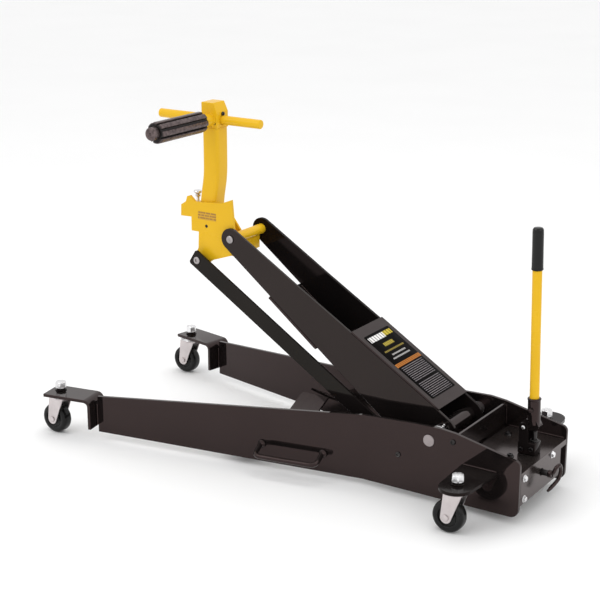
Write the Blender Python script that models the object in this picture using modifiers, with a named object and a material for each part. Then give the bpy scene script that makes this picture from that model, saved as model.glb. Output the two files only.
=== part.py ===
"""Truck clutch jack: a low four-caster truck, a hydraulic parallel-link lift arm
and a splined arbor on a tilting post.

Frame: metres, +Z up, floor at z = 0.  -X is the load end, +X is the pump end,
-Y is the near side.  Lengths below are millimetres times MM.
"""
import math

import bmesh
import bpy
from mathutils import Matrix, Vector

MM = 0.001
GAP = 0.3 * MM                       # air between neighbouring pieces

# ---- driving dimensions -------------------------------------------------
WHEEL_RADIUS = 38 * MM               # 3 inch caster wheel
WHEEL_WIDTH = 30 * MM
CASTER_TRAIL = 17 * MM
CASTER_PLATE_TOP = 115 * MM
CASTER_PLATE_THICK = 8 * MM
REAR_CASTER = Vector((511 * MM, 229 * MM, 0))
FRONT_CASTER = Vector((-596 * MM, 270 * MM, 0))

SIDE_THICK = 8 * MM
SIDE_OUTER_Y = 128.5 * MM            # outer face of the straight rear part
SIDE_REAR_X = 610 * MM
BEND_X = 211 * MM                    # where the rails start to splay
SPLAY = math.radians(10.7)
RAIL_RUN = 708 * MM                  # length of the splayed stretch

ARM_PIVOT = Vector((384 * MM, 0, 152 * MM))
ARM_HEAD = Vector((-205 * MM, 0, 521 * MM))
ARM_OUTER_Y = 70 * MM
ARM_THICK = 8 * MM
LINK_OFFSET = Vector((-94 * MM, 0, -64 * MM))
LINK_OUTER_Y = 81 * MM
LINK_THICK = 6 * MM
LINK_HALF_WIDTH = 20.5 * MM
PIVOT_SHAFT_RADIUS = 14 * MM
HEAD_PIN_RADIUS = 8 * MM

CHEEK_OUTER_Y = 60 * MM
CHEEK_THICK = 8 * MM
POST_SIZE = 46 * MM
POST_CENTRE_Y = -28.4 * MM
POST_PIVOT = Vector((-284 * MM, POST_CENTRE_Y, 541 * MM))
POST_X = -276 * MM
HEAD_BOTTOM_Z = 783 * MM
HEAD_TOP_Z = 845 * MM
HEAD_HALF_X = 23 * MM
HEAD_HALF_Y = 23 * MM
ARBOR_Z = 803 * MM
ARBOR_RADIUS = 25.4 * MM             # 2 inch spline
ARBOR_ROOT_RADIUS = 19.5 * MM
SPLINE_TEETH = 8
T_BAR_RADIUS = 11 * MM
T_BAR_Z = ARBOR_Z - 1 * MM

SHELF_TOP_Z = 122 * MM
SHELF_THICK = 6 * MM
END_BOTTOM_Z = 45 * MM
LEVER_PIVOT = Vector((562 * MM, 0, 186 * MM))
PLUNGER_X = 583 * MM
PLUNGER_RADIUS = 6 * MM
HANDLE_X = 580 * MM
HANDLE_LEAN = math.radians(-1.6)

LUG_RADIUS = 62 * MM                 # ram lug, pivot to roller
LUG_REST = math.radians(6)
RAM_Z = 91 * MM
VALVE_Y = -12 * MM                   # release valve stem, out of the end face
VALVE_Z = 88 * MM

PARTS = "clutch_jack"


# ---- scene and materials --------------------------------------------------
def start_scene():
    """Remove what the scene holds and make the two collections."""
    for item in list(bpy.data.objects):
        bpy.data.objects.remove(item, do_unlink=True)
    for name in (PARTS, "cutters"):
        group = bpy.data.collections.new(name)
        bpy.context.scene.collection.children.link(group)


def material(name, colour, roughness, metallic):
    """One Principled material."""
    mat = bpy.data.materials.new(name)
    mat.use_nodes = True
    shader = mat.node_tree.nodes["Principled BSDF"]
    shader.inputs["Base Color"].default_value = (*colour, 1)
    shader.inputs["Roughness"].default_value = roughness
    shader.inputs["Metallic"].default_value = metallic
    return mat


FINISHES = {
    "black_paint": ((0.03, 0.028, 0.028), 0.15, 0.0),
    "yellow_paint": ((0.80, 0.52, 0.02), 0.35, 0.0),
    "zinc_steel": ((0.75, 0.75, 0.76), 0.3, 1.0),
    "dark_steel": ((0.12, 0.11, 0.11), 0.4, 0.8),
    "black_rubber": ((0.02, 0.02, 0.02), 0.6, 0.0),
}


def dress(obj, finish):
    """Give an object its own copy of a finish and shade its round faces."""
    colour, roughness, metallic = FINISHES[finish]
    obj.data.materials.clear()
    obj.data.materials.append(material(obj.name + "_" + finish, colour, roughness, metallic))
    if obj.type == "MESH":
        obj.data.shade_smooth()
        obj.data.set_sharp_from_angle(angle=math.radians(35))
    return obj


def link(obj, group=PARTS):
    """Put an object in one of the two collections only."""
    for user in list(obj.users_collection):
        user.objects.unlink(obj)
    bpy.data.collections[group].objects.link(obj)
    return obj


def new_mesh_object(name, bm):
    """Turn a bmesh into a linked object."""
    mesh = bpy.data.meshes.new(name)
    bm.to_mesh(mesh)
    bm.free()
    return link(bpy.data.objects.new(name, mesh))


# ---- outline helpers ------------------------------------------------------
def arc(cx, cy, radius, start, end, steps):
    """Points on an arc, both ends included; angles in degrees."""
    points = []
    for i in range(steps + 1):
        a = math.radians(start + (end - start) * i / steps)
        points.append((cx + radius * math.cos(a), cy + radius * math.sin(a)))
    return points


def circle(cx, cy, radius, steps=24):
    """Points round a full circle."""
    return arc(cx, cy, radius, 0, 360 * (steps - 1) / steps, steps - 1)


def strip(path, thick):
    """Closed outline of a bent strip, half its thickness each side of a path."""
    left, right = [], []
    for i, here in enumerate(path):
        here = Vector(here)
        before = (here - Vector(path[i - 1])).normalized() if i else None
        after = (Vector(path[i + 1]) - here).normalized() if i < len(path) - 1 else None
        before = before or after
        after = after or before
        tangent = (before + after).normalized()
        normal = Vector((-tangent.y, tangent.x))
        reach = thick / 2 / normal.dot(Vector((-before.y, before.x)))
        left.append(tuple(here + normal * reach))
        right.append(tuple(here - normal * reach))
    return left + right[::-1]


PLANES = {
    "XY": Matrix.Identity(4),
    "XZ": Matrix.Rotation(math.radians(90), 4, "X"),
    "YZ": Matrix(((0, 0, 1, 0), (1, 0, 0, 0), (0, 1, 0, 0), (0, 0, 0, 1))),
}


def extrude(name, loops, thick, plane, offset):
    """Flat outline (first loop) with holes (other loops), given a thickness.

    offset is the middle of the thickness along the plane's third axis.
    """
    curve = bpy.data.curves.new(name, "CURVE")
    curve.dimensions = "2D"
    curve.fill_mode = "BOTH"
    curve.extrude = thick / 2
    for loop in loops:
        spline = curve.splines.new("POLY")
        spline.points.add(len(loop) - 1)
        for point, (u, v) in zip(spline.points, loop):
            point.co = (u, v, 0, 1)
        spline.use_cyclic_u = True
    guide = link(bpy.data.objects.new(name + "_outline", curve))
    obj = curve_to_mesh(guide, name)
    obj.data.transform(PLANES[plane])
    shift = {"XY": (0, 0, offset), "XZ": (0, offset, 0), "YZ": (offset, 0, 0)}[plane]
    obj.location = shift
    return obj


def curve_to_mesh(guide, name):
    """Closed mesh object from a curve object, which is then removed."""
    graph = bpy.context.evaluated_depsgraph_get()
    mesh = bpy.data.meshes.new_from_object(guide.evaluated_get(graph))
    mesh.name = name
    bm = bmesh.new()
    bm.from_mesh(mesh)
    bmesh.ops.remove_doubles(bm, verts=bm.verts, dist=1e-6)
    bmesh.ops.recalc_face_normals(bm, faces=bm.faces)
    bm.to_mesh(mesh)
    bm.free()
    obj = link(bpy.data.objects.new(name, mesh))
    obj.matrix_world = guide.matrix_world.copy()
    curve = guide.data
    bpy.data.objects.remove(guide)
    bpy.data.curves.remove(curve)
    return obj


def rod_along(name, points, radius, sides=2):
    """Round bar along a list of points, with filled ends."""
    curve = bpy.data.curves.new(name, "CURVE")
    curve.dimensions = "3D"
    curve.bevel_depth = radius
    curve.bevel_resolution = sides
    curve.use_fill_caps = True
    spline = curve.splines.new("POLY")
    spline.points.add(len(points) - 1)
    for point, place in zip(spline.points, points):
        point.co = (*place, 1)
    return curve_to_mesh(link(bpy.data.objects.new(name + "_path", curve)), name)


TURN_AXES = {
    "Z": Matrix.Identity(4),
    "Y": Matrix.Rotation(math.radians(-90), 4, "X"),
    "X": Matrix.Rotation(math.radians(90), 4, "Y"),
}


def turned(name, profile, axis, place, steps=24):
    """Turned piece; profile is (radius, height) down the outer side, top to bottom.

    A profile that touches the axis at both ends is a solid, any other is a ring.
    """
    bm = bmesh.new()
    verts = [bm.verts.new((r, 0, h)) for r, h in profile]
    for a, b in zip(verts, verts[1:]):
        bm.edges.new((a, b))
    if profile[0][0] > 0:
        bm.edges.new((verts[-1], verts[0]))
    obj = new_mesh_object(name, bm)
    screw = obj.modifiers.new("turn", "SCREW")
    screw.axis = "Z"
    screw.steps = steps
    screw.render_steps = steps
    screw.use_merge_vertices = True
    screw.merge_threshold = 1e-5
    obj.matrix_world = Matrix.Translation(place) @ TURN_AXES[axis]
    return obj


def pin(name, radius, length, axis, centre, steps=24, head=0.0, head_length=0.0):
    """Round pin, with an optional head at both ends outside its length."""
    half = length / 2
    profile = [(0, half), (radius, half), (radius, -half), (0, -half)]
    if head:
        top = half + head_length
        profile = [(0, top), (head, top), (head, half), (radius, half),
                   (radius, -half), (head, -half), (head, -top), (0, -top)]
    return turned(name, profile, axis, centre, steps)


def ring(name, outer, inner, length, axis, centre, steps=24):
    """Plain tube."""
    half = length / 2
    profile = [(outer, half), (outer, -half), (inner, -half), (inner, half)]
    return turned(name, profile, axis, centre, steps)


def block(name, low, high, bevel=0.0):
    """Box between two corners, with an optional bevel."""
    low, high = Vector(low), Vector(high)
    bm = bmesh.new()
    bmesh.ops.create_cube(bm, size=1)
    for vert in bm.verts:
        vert.co = Vector(c * s for c, s in zip(vert.co, high - low))
    obj = new_mesh_object(name, bm)
    obj.location = (low + high) / 2
    if bevel:
        round_edges(obj, bevel, 2)
    return obj


def round_edges(obj, width, segments=1):
    """Bevel modifier on the sharp edges."""
    mod = obj.modifiers.new("round", "BEVEL")
    mod.width = width
    mod.segments = segments
    mod.limit_method = "ANGLE"
    mod.angle_limit = math.radians(40)


def boolean(target, tool, operation):
    """Join or cut with another object, which becomes a cutter."""
    mod = target.modifiers.new(operation.lower(), "BOOLEAN")
    mod.operation = operation
    mod.object = tool
    mod.solver = "EXACT"
    link(tool, "cutters")
    tool.hide_render = True
    tool.display_type = "WIRE"
    return target


def mirrored_y(name, source, finish):
    """A left-hand copy of a piece, turned over the XZ plane."""
    graph = bpy.context.evaluated_depsgraph_get()
    mesh = bpy.data.meshes.new_from_object(source.evaluated_get(graph))
    mesh.transform(Matrix.Scale(-1, 4, (0, 1, 0)) @ source.matrix_world)
    mesh.flip_normals()
    mesh.name = name
    return dress(link(bpy.data.objects.new(name, mesh)), finish)


def both_sides(stem, build, finish):
    """Build the near piece, then its mirror on the far side."""
    near = dress(build(stem + "_near"), finish)
    mirrored_y(stem + "_far", near, finish)


# ---- truck ------------------------------------------------------------------
def rail_point(run, side_offset=0.0):
    """Plan point on the near rail, run forward of the bend, offset outward."""
    forward = Vector((-math.cos(SPLAY), -math.sin(SPLAY), 0))
    outward = Vector((math.sin(SPLAY), -math.cos(SPLAY), 0))
    start = Vector((BEND_X, -SIDE_OUTER_Y, 0))
    return start + forward * run + outward * side_offset


def side_plate(name):
    """Near side plate: straight at the rear, splayed outward in front of the bend."""
    front = BEND_X - RAIL_RUN
    outline = [(front, 23 * MM), (front, 117 * MM), (BEND_X, 176 * MM), (334 * MM, 184 * MM),
               (412 * MM, 187 * MM), (452 * MM, 183 * MM), (500 * MM, 173 * MM)]
    outline += arc(596 * MM, 139 * MM, 14 * MM, 70, 0, 4)
    outline += arc(590 * MM, 38 * MM, 20 * MM, 0, -90, 5)
    outline += [(BEND_X, 16 * MM)]
    holes = [circle(ARM_PIVOT.x, ARM_PIVOT.z, PIVOT_SHAFT_RADIUS + GAP)]
    middle = -SIDE_OUTER_Y + SIDE_THICK / 2
    obj = extrude(name, [outline[::-1]] + holes, SIDE_THICK, "XZ", 0)
    bend_rail(obj.data)
    obj.location.y = middle
    return obj


def bend_rail(mesh):
    """Turn what lies in front of the bend line outward by the splay angle."""
    bm = bmesh.new()
    bm.from_mesh(mesh)
    everything = bm.verts[:] + bm.edges[:] + bm.faces[:]
    bmesh.ops.bisect_plane(bm, geom=everything, plane_co=(BEND_X, 0, 0), plane_no=(1, 0, 0))
    turn = Matrix.Rotation(SPLAY, 3, "Z")
    half_turn = Matrix.Rotation(SPLAY / 2, 3, "Z")
    for vert in bm.verts:
        ahead = BEND_X - vert.co.x
        across = vert.co.y
        height = vert.co.z
        if ahead > 1e-6:
            moved = turn @ Vector((-ahead, across, 0))
        elif ahead > -1e-6:
            moved = half_turn @ Vector((0, across / math.cos(SPLAY / 2), 0))
        else:
            continue
        vert.co = (BEND_X + moved.x, moved.y, height)
    bm.to_mesh(mesh)
    bm.free()


def front_bracket(name):
    """Bent plate: a flat top for the caster and a leg that the rail is welded to."""
    top = CASTER_PLATE_TOP
    leg_x = 3 * MM
    bend = 14 * MM
    path = [(leg_x, 38 * MM)]
    path += arc(leg_x + bend, top - 4 * MM - bend, bend, 180, 90, 5)
    path += [(133 * MM, top - 4 * MM)]
    obj = extrude(name, [strip(path, CASTER_PLATE_THICK)], 72 * MM, "XZ", 0)
    bore = pin(name + "_bore", 6.5 * MM, 60 * MM, "Z", (0, 0, 0), 16)
    place = Matrix.Translation(rail_point(RAIL_RUN + 4.3 * MM, -4 * MM))
    obj.matrix_world = place @ Matrix.Rotation(SPLAY, 4, "Z") @ Matrix.Rotation(math.pi, 4, "Z")
    round_edges(obj, 2 * MM)
    bore.location = (FRONT_CASTER.x, -FRONT_CASTER.y, top)
    return boolean(obj, bore, "DIFFERENCE")


def rear_caster_plate(name):
    """Triangular plate with a round nose, welded to the outside of the side plate."""
    cx, cy = REAR_CASTER.x, -REAR_CASTER.y
    inner = -SIDE_OUTER_Y - GAP
    outline = [(468 * MM, inner)] + arc(cx + 2 * MM, cy - 12 * MM, 38 * MM, 185, 355, 11) + [(558 * MM, inner)]
    bore = circle(cx, cy, 6.5 * MM, 16)
    middle = CASTER_PLATE_TOP - CASTER_PLATE_THICK / 2
    return extrude(name, [outline, bore], CASTER_PLATE_THICK, "XY", middle)


def carry_handle(name):
    """Bent bar welded by its ends to the outside of the rail."""
    reach, drop, corner = 44 * MM, 17 * MM, 12 * MM
    first, last = 100 * MM, 258 * MM
    points = []
    for run, turn in ((first, 1), (last, -1)):
        stretch = []
        stretch.append((run, 7 * MM))
        for i in range(5):
            a = math.radians(90 * i / 4)
            stretch.append((run + turn * corner * (1 - math.cos(a)), reach - corner + corner * math.sin(a)))
        points += stretch if turn == 1 else stretch[::-1]
    places = []
    for run, out in points:
        place = rail_point(run, out)
        place.z = 66 * MM - drop * out / reach
        places.append(place)
    return rod_along(name, places, 6 * MM)


def cross_brace():
    """Bent plate that ties the rails together, low in the middle."""
    side = 171.5 * MM
    path = [(-side, 62 * MM), (-85 * MM, 21 * MM), (85 * MM, 21 * MM), (side, 62 * MM)]
    obj = extrude("cross_brace", [strip(path, 6 * MM)], 80 * MM, "YZ", -113 * MM)
    dress(obj, "black_paint")


def rear_shelf():
    """Shelf for the pump, bent down into the rear end face."""
    back = SIDE_REAR_X - SHELF_THICK / 2
    path = [(back, END_BOTTOM_Z), (back, SHELF_TOP_Z - SHELF_THICK / 2),
            (459 * MM, SHELF_TOP_Z - SHELF_THICK / 2)]
    width = 2 * (SIDE_OUTER_Y - SIDE_THICK - GAP)
    obj = extrude("rear_shelf", [strip(path, SHELF_THICK)], width, "XZ", 0)
    stem_bore = pin("stem_bore", 9 * MM, 40 * MM, "X", (SIDE_REAR_X, VALVE_Y, VALVE_Z), 16)
    boolean(obj, stem_bore, "DIFFERENCE")
    notch = block("far_notch", (SIDE_REAR_X - 20 * MM, 92 * MM, 0), (SIDE_REAR_X + 20 * MM, 200 * MM, 108 * MM))
    dress(boolean(obj, notch, "DIFFERENCE"), "black_paint")


def transverse_plate():
    """Upright plate between the side plates, behind the arm's pivot."""
    half = SIDE_OUTER_Y - SIDE_THICK - GAP
    obj = block("transverse_plate", (448 * MM, -half, 113 * MM), (454 * MM, half, 178 * MM))
    dress(obj, "black_paint")


def arm_pivot_shaft():
    """Shaft that the lift arm turns on, flush with both side plates."""
    obj = pin("arm_pivot_shaft", PIVOT_SHAFT_RADIUS, 2 * SIDE_OUTER_Y + 3 * MM, "Y", ARM_PIVOT, 28)
    dress(obj, "zinc_steel")


def link_stub(name):
    """Stub axle welded to the inside of the side plate, for the lower link."""
    outer = SIDE_OUTER_Y - SIDE_THICK - GAP
    inner = LINK_OUTER_Y - LINK_THICK - 3 * MM
    place = ARM_PIVOT + LINK_OFFSET
    place.y = -(outer + inner) / 2
    return pin(name, 9 * MM, outer - inner, "Y", place)


# ---- casters ----------------------------------------------------------------
def caster(label, place):
    """One swivel caster: bolt, fork, wheel and axle."""
    x, y = place
    hex_bolt(label + "_stem_bolt", x, y)
    caster_fork(label + "_fork", x, y)
    axle_x = x - CASTER_TRAIL
    half = WHEEL_WIDTH / 2
    tread = 4 * MM
    hub = half - 5 * MM
    profile = [(WHEEL_RADIUS - tread, half), (WHEEL_RADIUS, half - tread),
               (WHEEL_RADIUS, -half + tread), (WHEEL_RADIUS - tread, -half),
               (24 * MM, -half), (22 * MM, -hub), (12 * MM, -hub), (5.3 * MM, -half),
               (5.3 * MM, half), (12 * MM, hub), (22 * MM, hub), (24 * MM, half)]
    wheel = turned(label + "_wheel", profile, "Y", (axle_x, y, WHEEL_RADIUS), 28)
    dress(wheel, "black_rubber")
    axle = pin(label + "_axle", 5 * MM, 40.6 * MM, "Y", (axle_x, y, WHEEL_RADIUS), 12,
               8 * MM, 4 * MM)
    dress(axle, "zinc_steel")


def hex_bolt(name, x, y):
    """Caster stem: hexagon head over a thick washer, down through the plate."""
    top = CASTER_PLATE_TOP + GAP
    shank = turned(name, [(0, 24 * MM), (6 * MM, 24 * MM), (6 * MM, 14 * MM), (15 * MM, 14 * MM),
                          (15 * MM, 0), (6 * MM, 0), (6 * MM, -26 * MM), (0, -26 * MM)],
                   "Z", (x, y, top), 18)
    head = turned(name + "_head", [(0, 23.7 * MM), (9 * MM, 23.7 * MM), (14 * MM, 21.5 * MM),
                                   (14 * MM, 13 * MM), (0, 13 * MM)], "Z", (x, y, top), 6)
    dress(boolean(shank, head, "UNION"), "zinc_steel")


def caster_fork(name, x, y):
    """Swivel raceway and a stamped fork with tapered legs."""
    under = CASTER_PLATE_TOP - CASTER_PLATE_THICK - GAP
    race = turned(name, [(26 * MM, under), (28 * MM, under - 4 * MM), (25 * MM, under - 10 * MM),
                         (20 * MM, under - 13 * MM), (6.4 * MM, under - 13 * MM), (6.4 * MM, under)],
                  "Z", (x, y, 0), 18)
    top = under - 9 * MM
    crown = block(name + "_crown", (x - 24 * MM, y - 19.7 * MM, top - 3 * MM),
                  (x + 20 * MM, y + 19.7 * MM, top))
    boolean(race, crown, "UNION")
    axle_x = x - CASTER_TRAIL
    for side in (-1, 1):
        leg = [(x + 20 * MM, top), (x - 24 * MM, top)]
        leg += arc(axle_x, WHEEL_RADIUS, 13 * MM, 170, 340, 8)
        bore = circle(axle_x, WHEEL_RADIUS, 5 * MM + GAP, 12)
        name_leg = name + ("_leg_a" if side < 0 else "_leg_b")
        plate = extrude(name_leg, [leg, bore], 3 * MM, "XZ", y + side * 18.5 * MM)
        boolean(race, plate, "UNION")
    bore = pin(name + "_stem_bore", 6 * MM + GAP, 60 * MM, "Z", (x, y, under - 10 * MM), 18)
    dress(boolean(race, bore, "DIFFERENCE"), "zinc_steel")


def casters():
    """Four casters; the wheels trail toward the load end."""
    for end, place in (("rear", REAR_CASTER), ("front", FRONT_CASTER)):
        for side, sign in (("near", -1), ("far", 1)):
            caster(end + "_" + side + "_caster", (place.x, sign * place.y))


# ---- lift arm ---------------------------------------------------------------
ARM_LENGTH = (ARM_PIVOT - ARM_HEAD).length
ARM_SLOPE = math.atan2(ARM_HEAD.z - ARM_PIVOT.z, ARM_PIVOT.x - ARM_HEAD.x)


def arm_point(along, above):
    """World (x, z) of a point along the arm from its head pin, above its axis."""
    c, s = math.cos(ARM_SLOPE), math.sin(ARM_SLOPE)
    return (ARM_HEAD.x + along * c + above * s, ARM_HEAD.z - along * s + above * c)


def arm_plate(name):
    """Side plate of the arm: round head, deepening to a round foot at the pivot."""
    local = arc(0, 0, 27 * MM, 262, 92, 10)
    local += [(211 * MM, 30 * MM), (385 * MM, 34.4 * MM), (660 * MM, 38 * MM)]
    local += arc(ARM_LENGTH, 0, 38 * MM, 80, -60, 7)
    local += [(ARM_LENGTH - 30 * MM, -80 * MM), (600 * MM, -86 * MM), (381 * MM, -66 * MM)]
    outline = [arm_point(u, v) for u, v in local]
    holes = [circle(ARM_HEAD.x, ARM_HEAD.z, HEAD_PIN_RADIUS + GAP),
             circle(ARM_PIVOT.x, ARM_PIVOT.z, PIVOT_SHAFT_RADIUS + GAP)]
    return extrude(name, [outline] + holes, ARM_THICK, "XZ", -ARM_OUTER_Y + ARM_THICK / 2)


def arm_slab(name, start, end, thick):
    """Flat plate across the arm; start and end are (along, above) of its middle."""
    path = [arm_point(*end), arm_point(*start)]
    return dress(extrude(name, [strip(path, thick)], 2 * ARM_OUTER_Y, "XZ", 0), "black_paint")


def arm_extras():
    """Cover, belly plate, head pin, and the pivot tube with the ram's lug."""
    arm_slab("arm_cover_plate", (385 * MM, 36.8 * MM), (660 * MM, 40.4 * MM), 4 * MM)
    arm_slab("arm_belly_plate", (163 * MM, -47.9 * MM), (333 * MM, -65.3 * MM), 7 * MM)
    inner = ARM_OUTER_Y - ARM_THICK - GAP
    tube = ring("arm_pivot_tube", 22 * MM, PIVOT_SHAFT_RADIUS + GAP, 2 * inner, "Y", ARM_PIVOT, 28)
    lug_tip = (ARM_PIVOT.x - LUG_RADIUS * math.sin(LUG_REST),
               ARM_PIVOT.z - LUG_RADIUS * math.cos(LUG_REST))
    lug = [(ARM_PIVOT.x + 6 * MM, ARM_PIVOT.z - 14 * MM), (ARM_PIVOT.x - 18 * MM, ARM_PIVOT.z - 8 * MM)]
    lug += arc(lug_tip[0], lug_tip[1], 12 * MM, 180, 350, 8)
    lug_piece = extrude("ram_lug_blank", [lug], 20 * MM, "XZ", 0)
    boolean(tube, lug_piece, "UNION")
    bore = pin("arm_tube_bore", PIVOT_SHAFT_RADIUS + GAP, 3 * inner, "Y", ARM_PIVOT, 28)
    dress(boolean(tube, bore, "DIFFERENCE"), "black_paint")
    dress(pin("arm_head_pin", HEAD_PIN_RADIUS, 2 * ARM_OUTER_Y + 2 * GAP, "Y", ARM_HEAD, 20,
              9.5 * MM, 4 * MM), "zinc_steel")


def lower_link(name):
    """Flat bar parallel to the arm, with square ends."""
    foot = ARM_PIVOT + LINK_OFFSET
    head = ARM_HEAD + LINK_OFFSET
    direction = Vector((foot.x - head.x, foot.z - head.z)).normalized()
    normal = Vector((-direction.y, direction.x))
    end, half, corner = 17 * MM, LINK_HALF_WIDTH, 4 * MM
    origin = Vector((head.x, head.z))
    length = (foot - head).length
    local = [(-end, -half + corner), (-end + corner, -half), (length + end - corner, -half),
             (length + end, -half + corner), (length + end, half - corner),
             (length + end - corner, half), (-end + corner, half), (-end, half - corner)]
    outline = [tuple(origin + direction * u + normal * v) for u, v in local]
    holes = [circle(head.x, head.z, HEAD_PIN_RADIUS + 0.6 * MM, 20),
             circle(foot.x, foot.z, 9 * MM + GAP, 20)]
    return extrude(name, [outline] + holes, LINK_THICK, "XZ", -LINK_OUTER_Y + LINK_THICK / 2)


# ---- load bracket -----------------------------------------------------------
def near_cheek():
    """Stepped yellow plate that carries the post."""
    link_pin = ARM_HEAD + LINK_OFFSET
    outline = [(-361, 586), (-362, 558), (-330, 559), (-330, 524), (-308, 524), (-310, 482), (-322, 464)]
    outline = [(x * MM, z * MM) for x, z in outline]
    outline += arc(link_pin.x, link_pin.z, 20 * MM, 195, 300, 6)
    outline += [(-268 * MM, 457 * MM), (-213 * MM, 476 * MM)]
    outline += arc(ARM_HEAD.x, ARM_HEAD.z, 21 * MM, -80, 80, 7)
    outline += [(-208 * MM, 616 * MM), (-238 * MM, 604 * MM), (-318 * MM, 598 * MM), (-334 * MM, 612 * MM),
                (-342 * MM, 609 * MM), (-346 * MM, 596 * MM)]
    holes = [circle(link_pin.x, link_pin.z, HEAD_PIN_RADIUS + GAP, 20),
             circle(ARM_HEAD.x, ARM_HEAD.z, HEAD_PIN_RADIUS + GAP, 20),
             circle(POST_PIVOT.x, POST_PIVOT.z, 4 * MM + GAP, 12)]
    middle = -CHEEK_OUTER_Y + CHEEK_THICK / 2
    dress(extrude("load_bracket_near_cheek", [outline] + holes, CHEEK_THICK, "XZ", middle), "yellow_paint")


def far_cheek():
    """Lower plate on the far side, which carries the far link."""
    link_pin = ARM_HEAD + LINK_OFFSET
    outline = arc(link_pin.x, link_pin.z, 20 * MM, 110, 300, 8)
    outline += [(-268 * MM, 457 * MM), (-214 * MM, 470 * MM), (-214 * MM, 500 * MM), (-250 * MM, 500 * MM)]
    holes = [circle(link_pin.x, link_pin.z, HEAD_PIN_RADIUS + GAP, 20)]
    dress(extrude("load_bracket_far_cheek", [outline] + holes, 6 * MM, "XZ", 54 * MM), "yellow_paint")


def inner_cheek():
    """Second plate of the clevis that the post tilts in."""
    near_face = POST_CENTRE_Y + POST_SIZE / 2 + GAP
    outline = [(-330, 560), (-308, 486), (-222, 486), (-214, 505)]
    outline = [(x * MM, z * MM) for x, z in outline]
    outline += [(-222 * MM, 530 * MM), (-250 * MM, 566 * MM), (-300 * MM, 572 * MM)]
    holes = [circle(POST_PIVOT.x, POST_PIVOT.z, 4 * MM + GAP, 12)]
    dress(extrude("load_bracket_inner_cheek", [outline[::-1]] + holes, 6 * MM, "XZ", near_face + 3 * MM),
          "yellow_paint")


def bracket_rest():
    """Web with its pivot tube, link pin and the lug with its adjusting bolt."""
    near_in = -CHEEK_OUTER_Y + CHEEK_THICK + GAP
    far_in = ARM_OUTER_Y - ARM_THICK - GAP
    middle = (near_in + far_in) / 2
    tube = ring("load_bracket_web", 12.6 * MM, HEAD_PIN_RADIUS + GAP, far_in - near_in, "Y",
                (ARM_HEAD.x, middle, ARM_HEAD.z))
    web = block("web_blank", (-213 * MM, near_in + 1e-5, 474 * MM), (-207 * MM, 56.7 * MM, 511 * MM))
    dress(boolean(tube, web, "UNION"), "yellow_paint")
    link_pin = ARM_HEAD + LINK_OFFSET
    dress(pin("link_head_pin", HEAD_PIN_RADIUS, 2 * LINK_OUTER_Y + 2 * GAP, "Y", link_pin, 20,
              9 * MM, 3 * MM), "zinc_steel")
    lug = block("adjuster_lug", (-346 * MM, near_in, 578 * MM), (-324 * MM, -12 * MM, 590 * MM))
    bore = pin("adjuster_bore", 4.6 * MM, 60 * MM, "Z", (-332 * MM, POST_CENTRE_Y, 580 * MM), 12)
    dress(boolean(lug, bore, "DIFFERENCE"), "yellow_paint")
    bolt = turned("adjuster_bolt", [(0, 620 * MM), (11 * MM, 620 * MM), (11 * MM, 612 * MM),
                                    (4.3 * MM, 612 * MM), (4.3 * MM, 566 * MM), (0, 566 * MM)],
                  "Z", (-332 * MM, POST_CENTRE_Y, 0), 12)
    dress(bolt, "zinc_steel")


# ---- post and arbor -----------------------------------------------------------
def post_tube():
    """Square tube with round corners, bent a little above the bracket."""
    half, corner = POST_SIZE / 2, 10 * MM
    section = []
    for cx, cy, start in ((1, 1, 0), (-1, 1, 90), (-1, -1, 180), (1, -1, 270)):
        section += arc(cx * (half - corner), cy * (half - corner), corner, start, start + 90, 4)
    levels = [(POST_PIVOT.x - 9 * MM, 516 * MM), (POST_X - 11 * MM, 607 * MM), (POST_X - 2 * MM, 652 * MM),
              (POST_X, 674 * MM), (POST_X, HEAD_BOTTOM_Z - GAP)]
    bm = bmesh.new()
    rings = []
    for x, z in levels:
        rings.append([bm.verts.new((x + u, POST_CENTRE_Y + v, z)) for u, v in section])
    for low, high in zip(rings, rings[1:]):
        for i, vert in enumerate(low):
            after = (i + 1) % len(low)
            bm.faces.new((vert, low[after], high[after], high[i]))
    bm.faces.new(rings[0][::-1])
    bm.faces.new(rings[-1])
    obj = new_mesh_object("post_tube", bm)
    toe = block("post_toe", (-345 * MM, POST_CENTRE_Y - 12 * MM, 555 * MM),
                (POST_PIVOT.x, POST_CENTRE_Y + 12 * MM, 565 * MM))
    boolean(obj, toe, "UNION")
    bore = pin("post_bore", 4 * MM + GAP, 80 * MM, "Y", POST_PIVOT, 12)
    dress(boolean(obj, bore, "DIFFERENCE"), "yellow_paint")


def post_pivot_pin():
    """Pin that the post tilts on, through both cheeks of the clevis."""
    length = CHEEK_OUTER_Y + POST_CENTRE_Y + POST_SIZE / 2 + 6 * MM
    centre = Vector((POST_PIVOT.x, -CHEEK_OUTER_Y + length / 2, POST_PIVOT.z))
    dress(pin("post_pivot_pin", 4 * MM, length, "Y", centre, 12), "zinc_steel")


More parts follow.
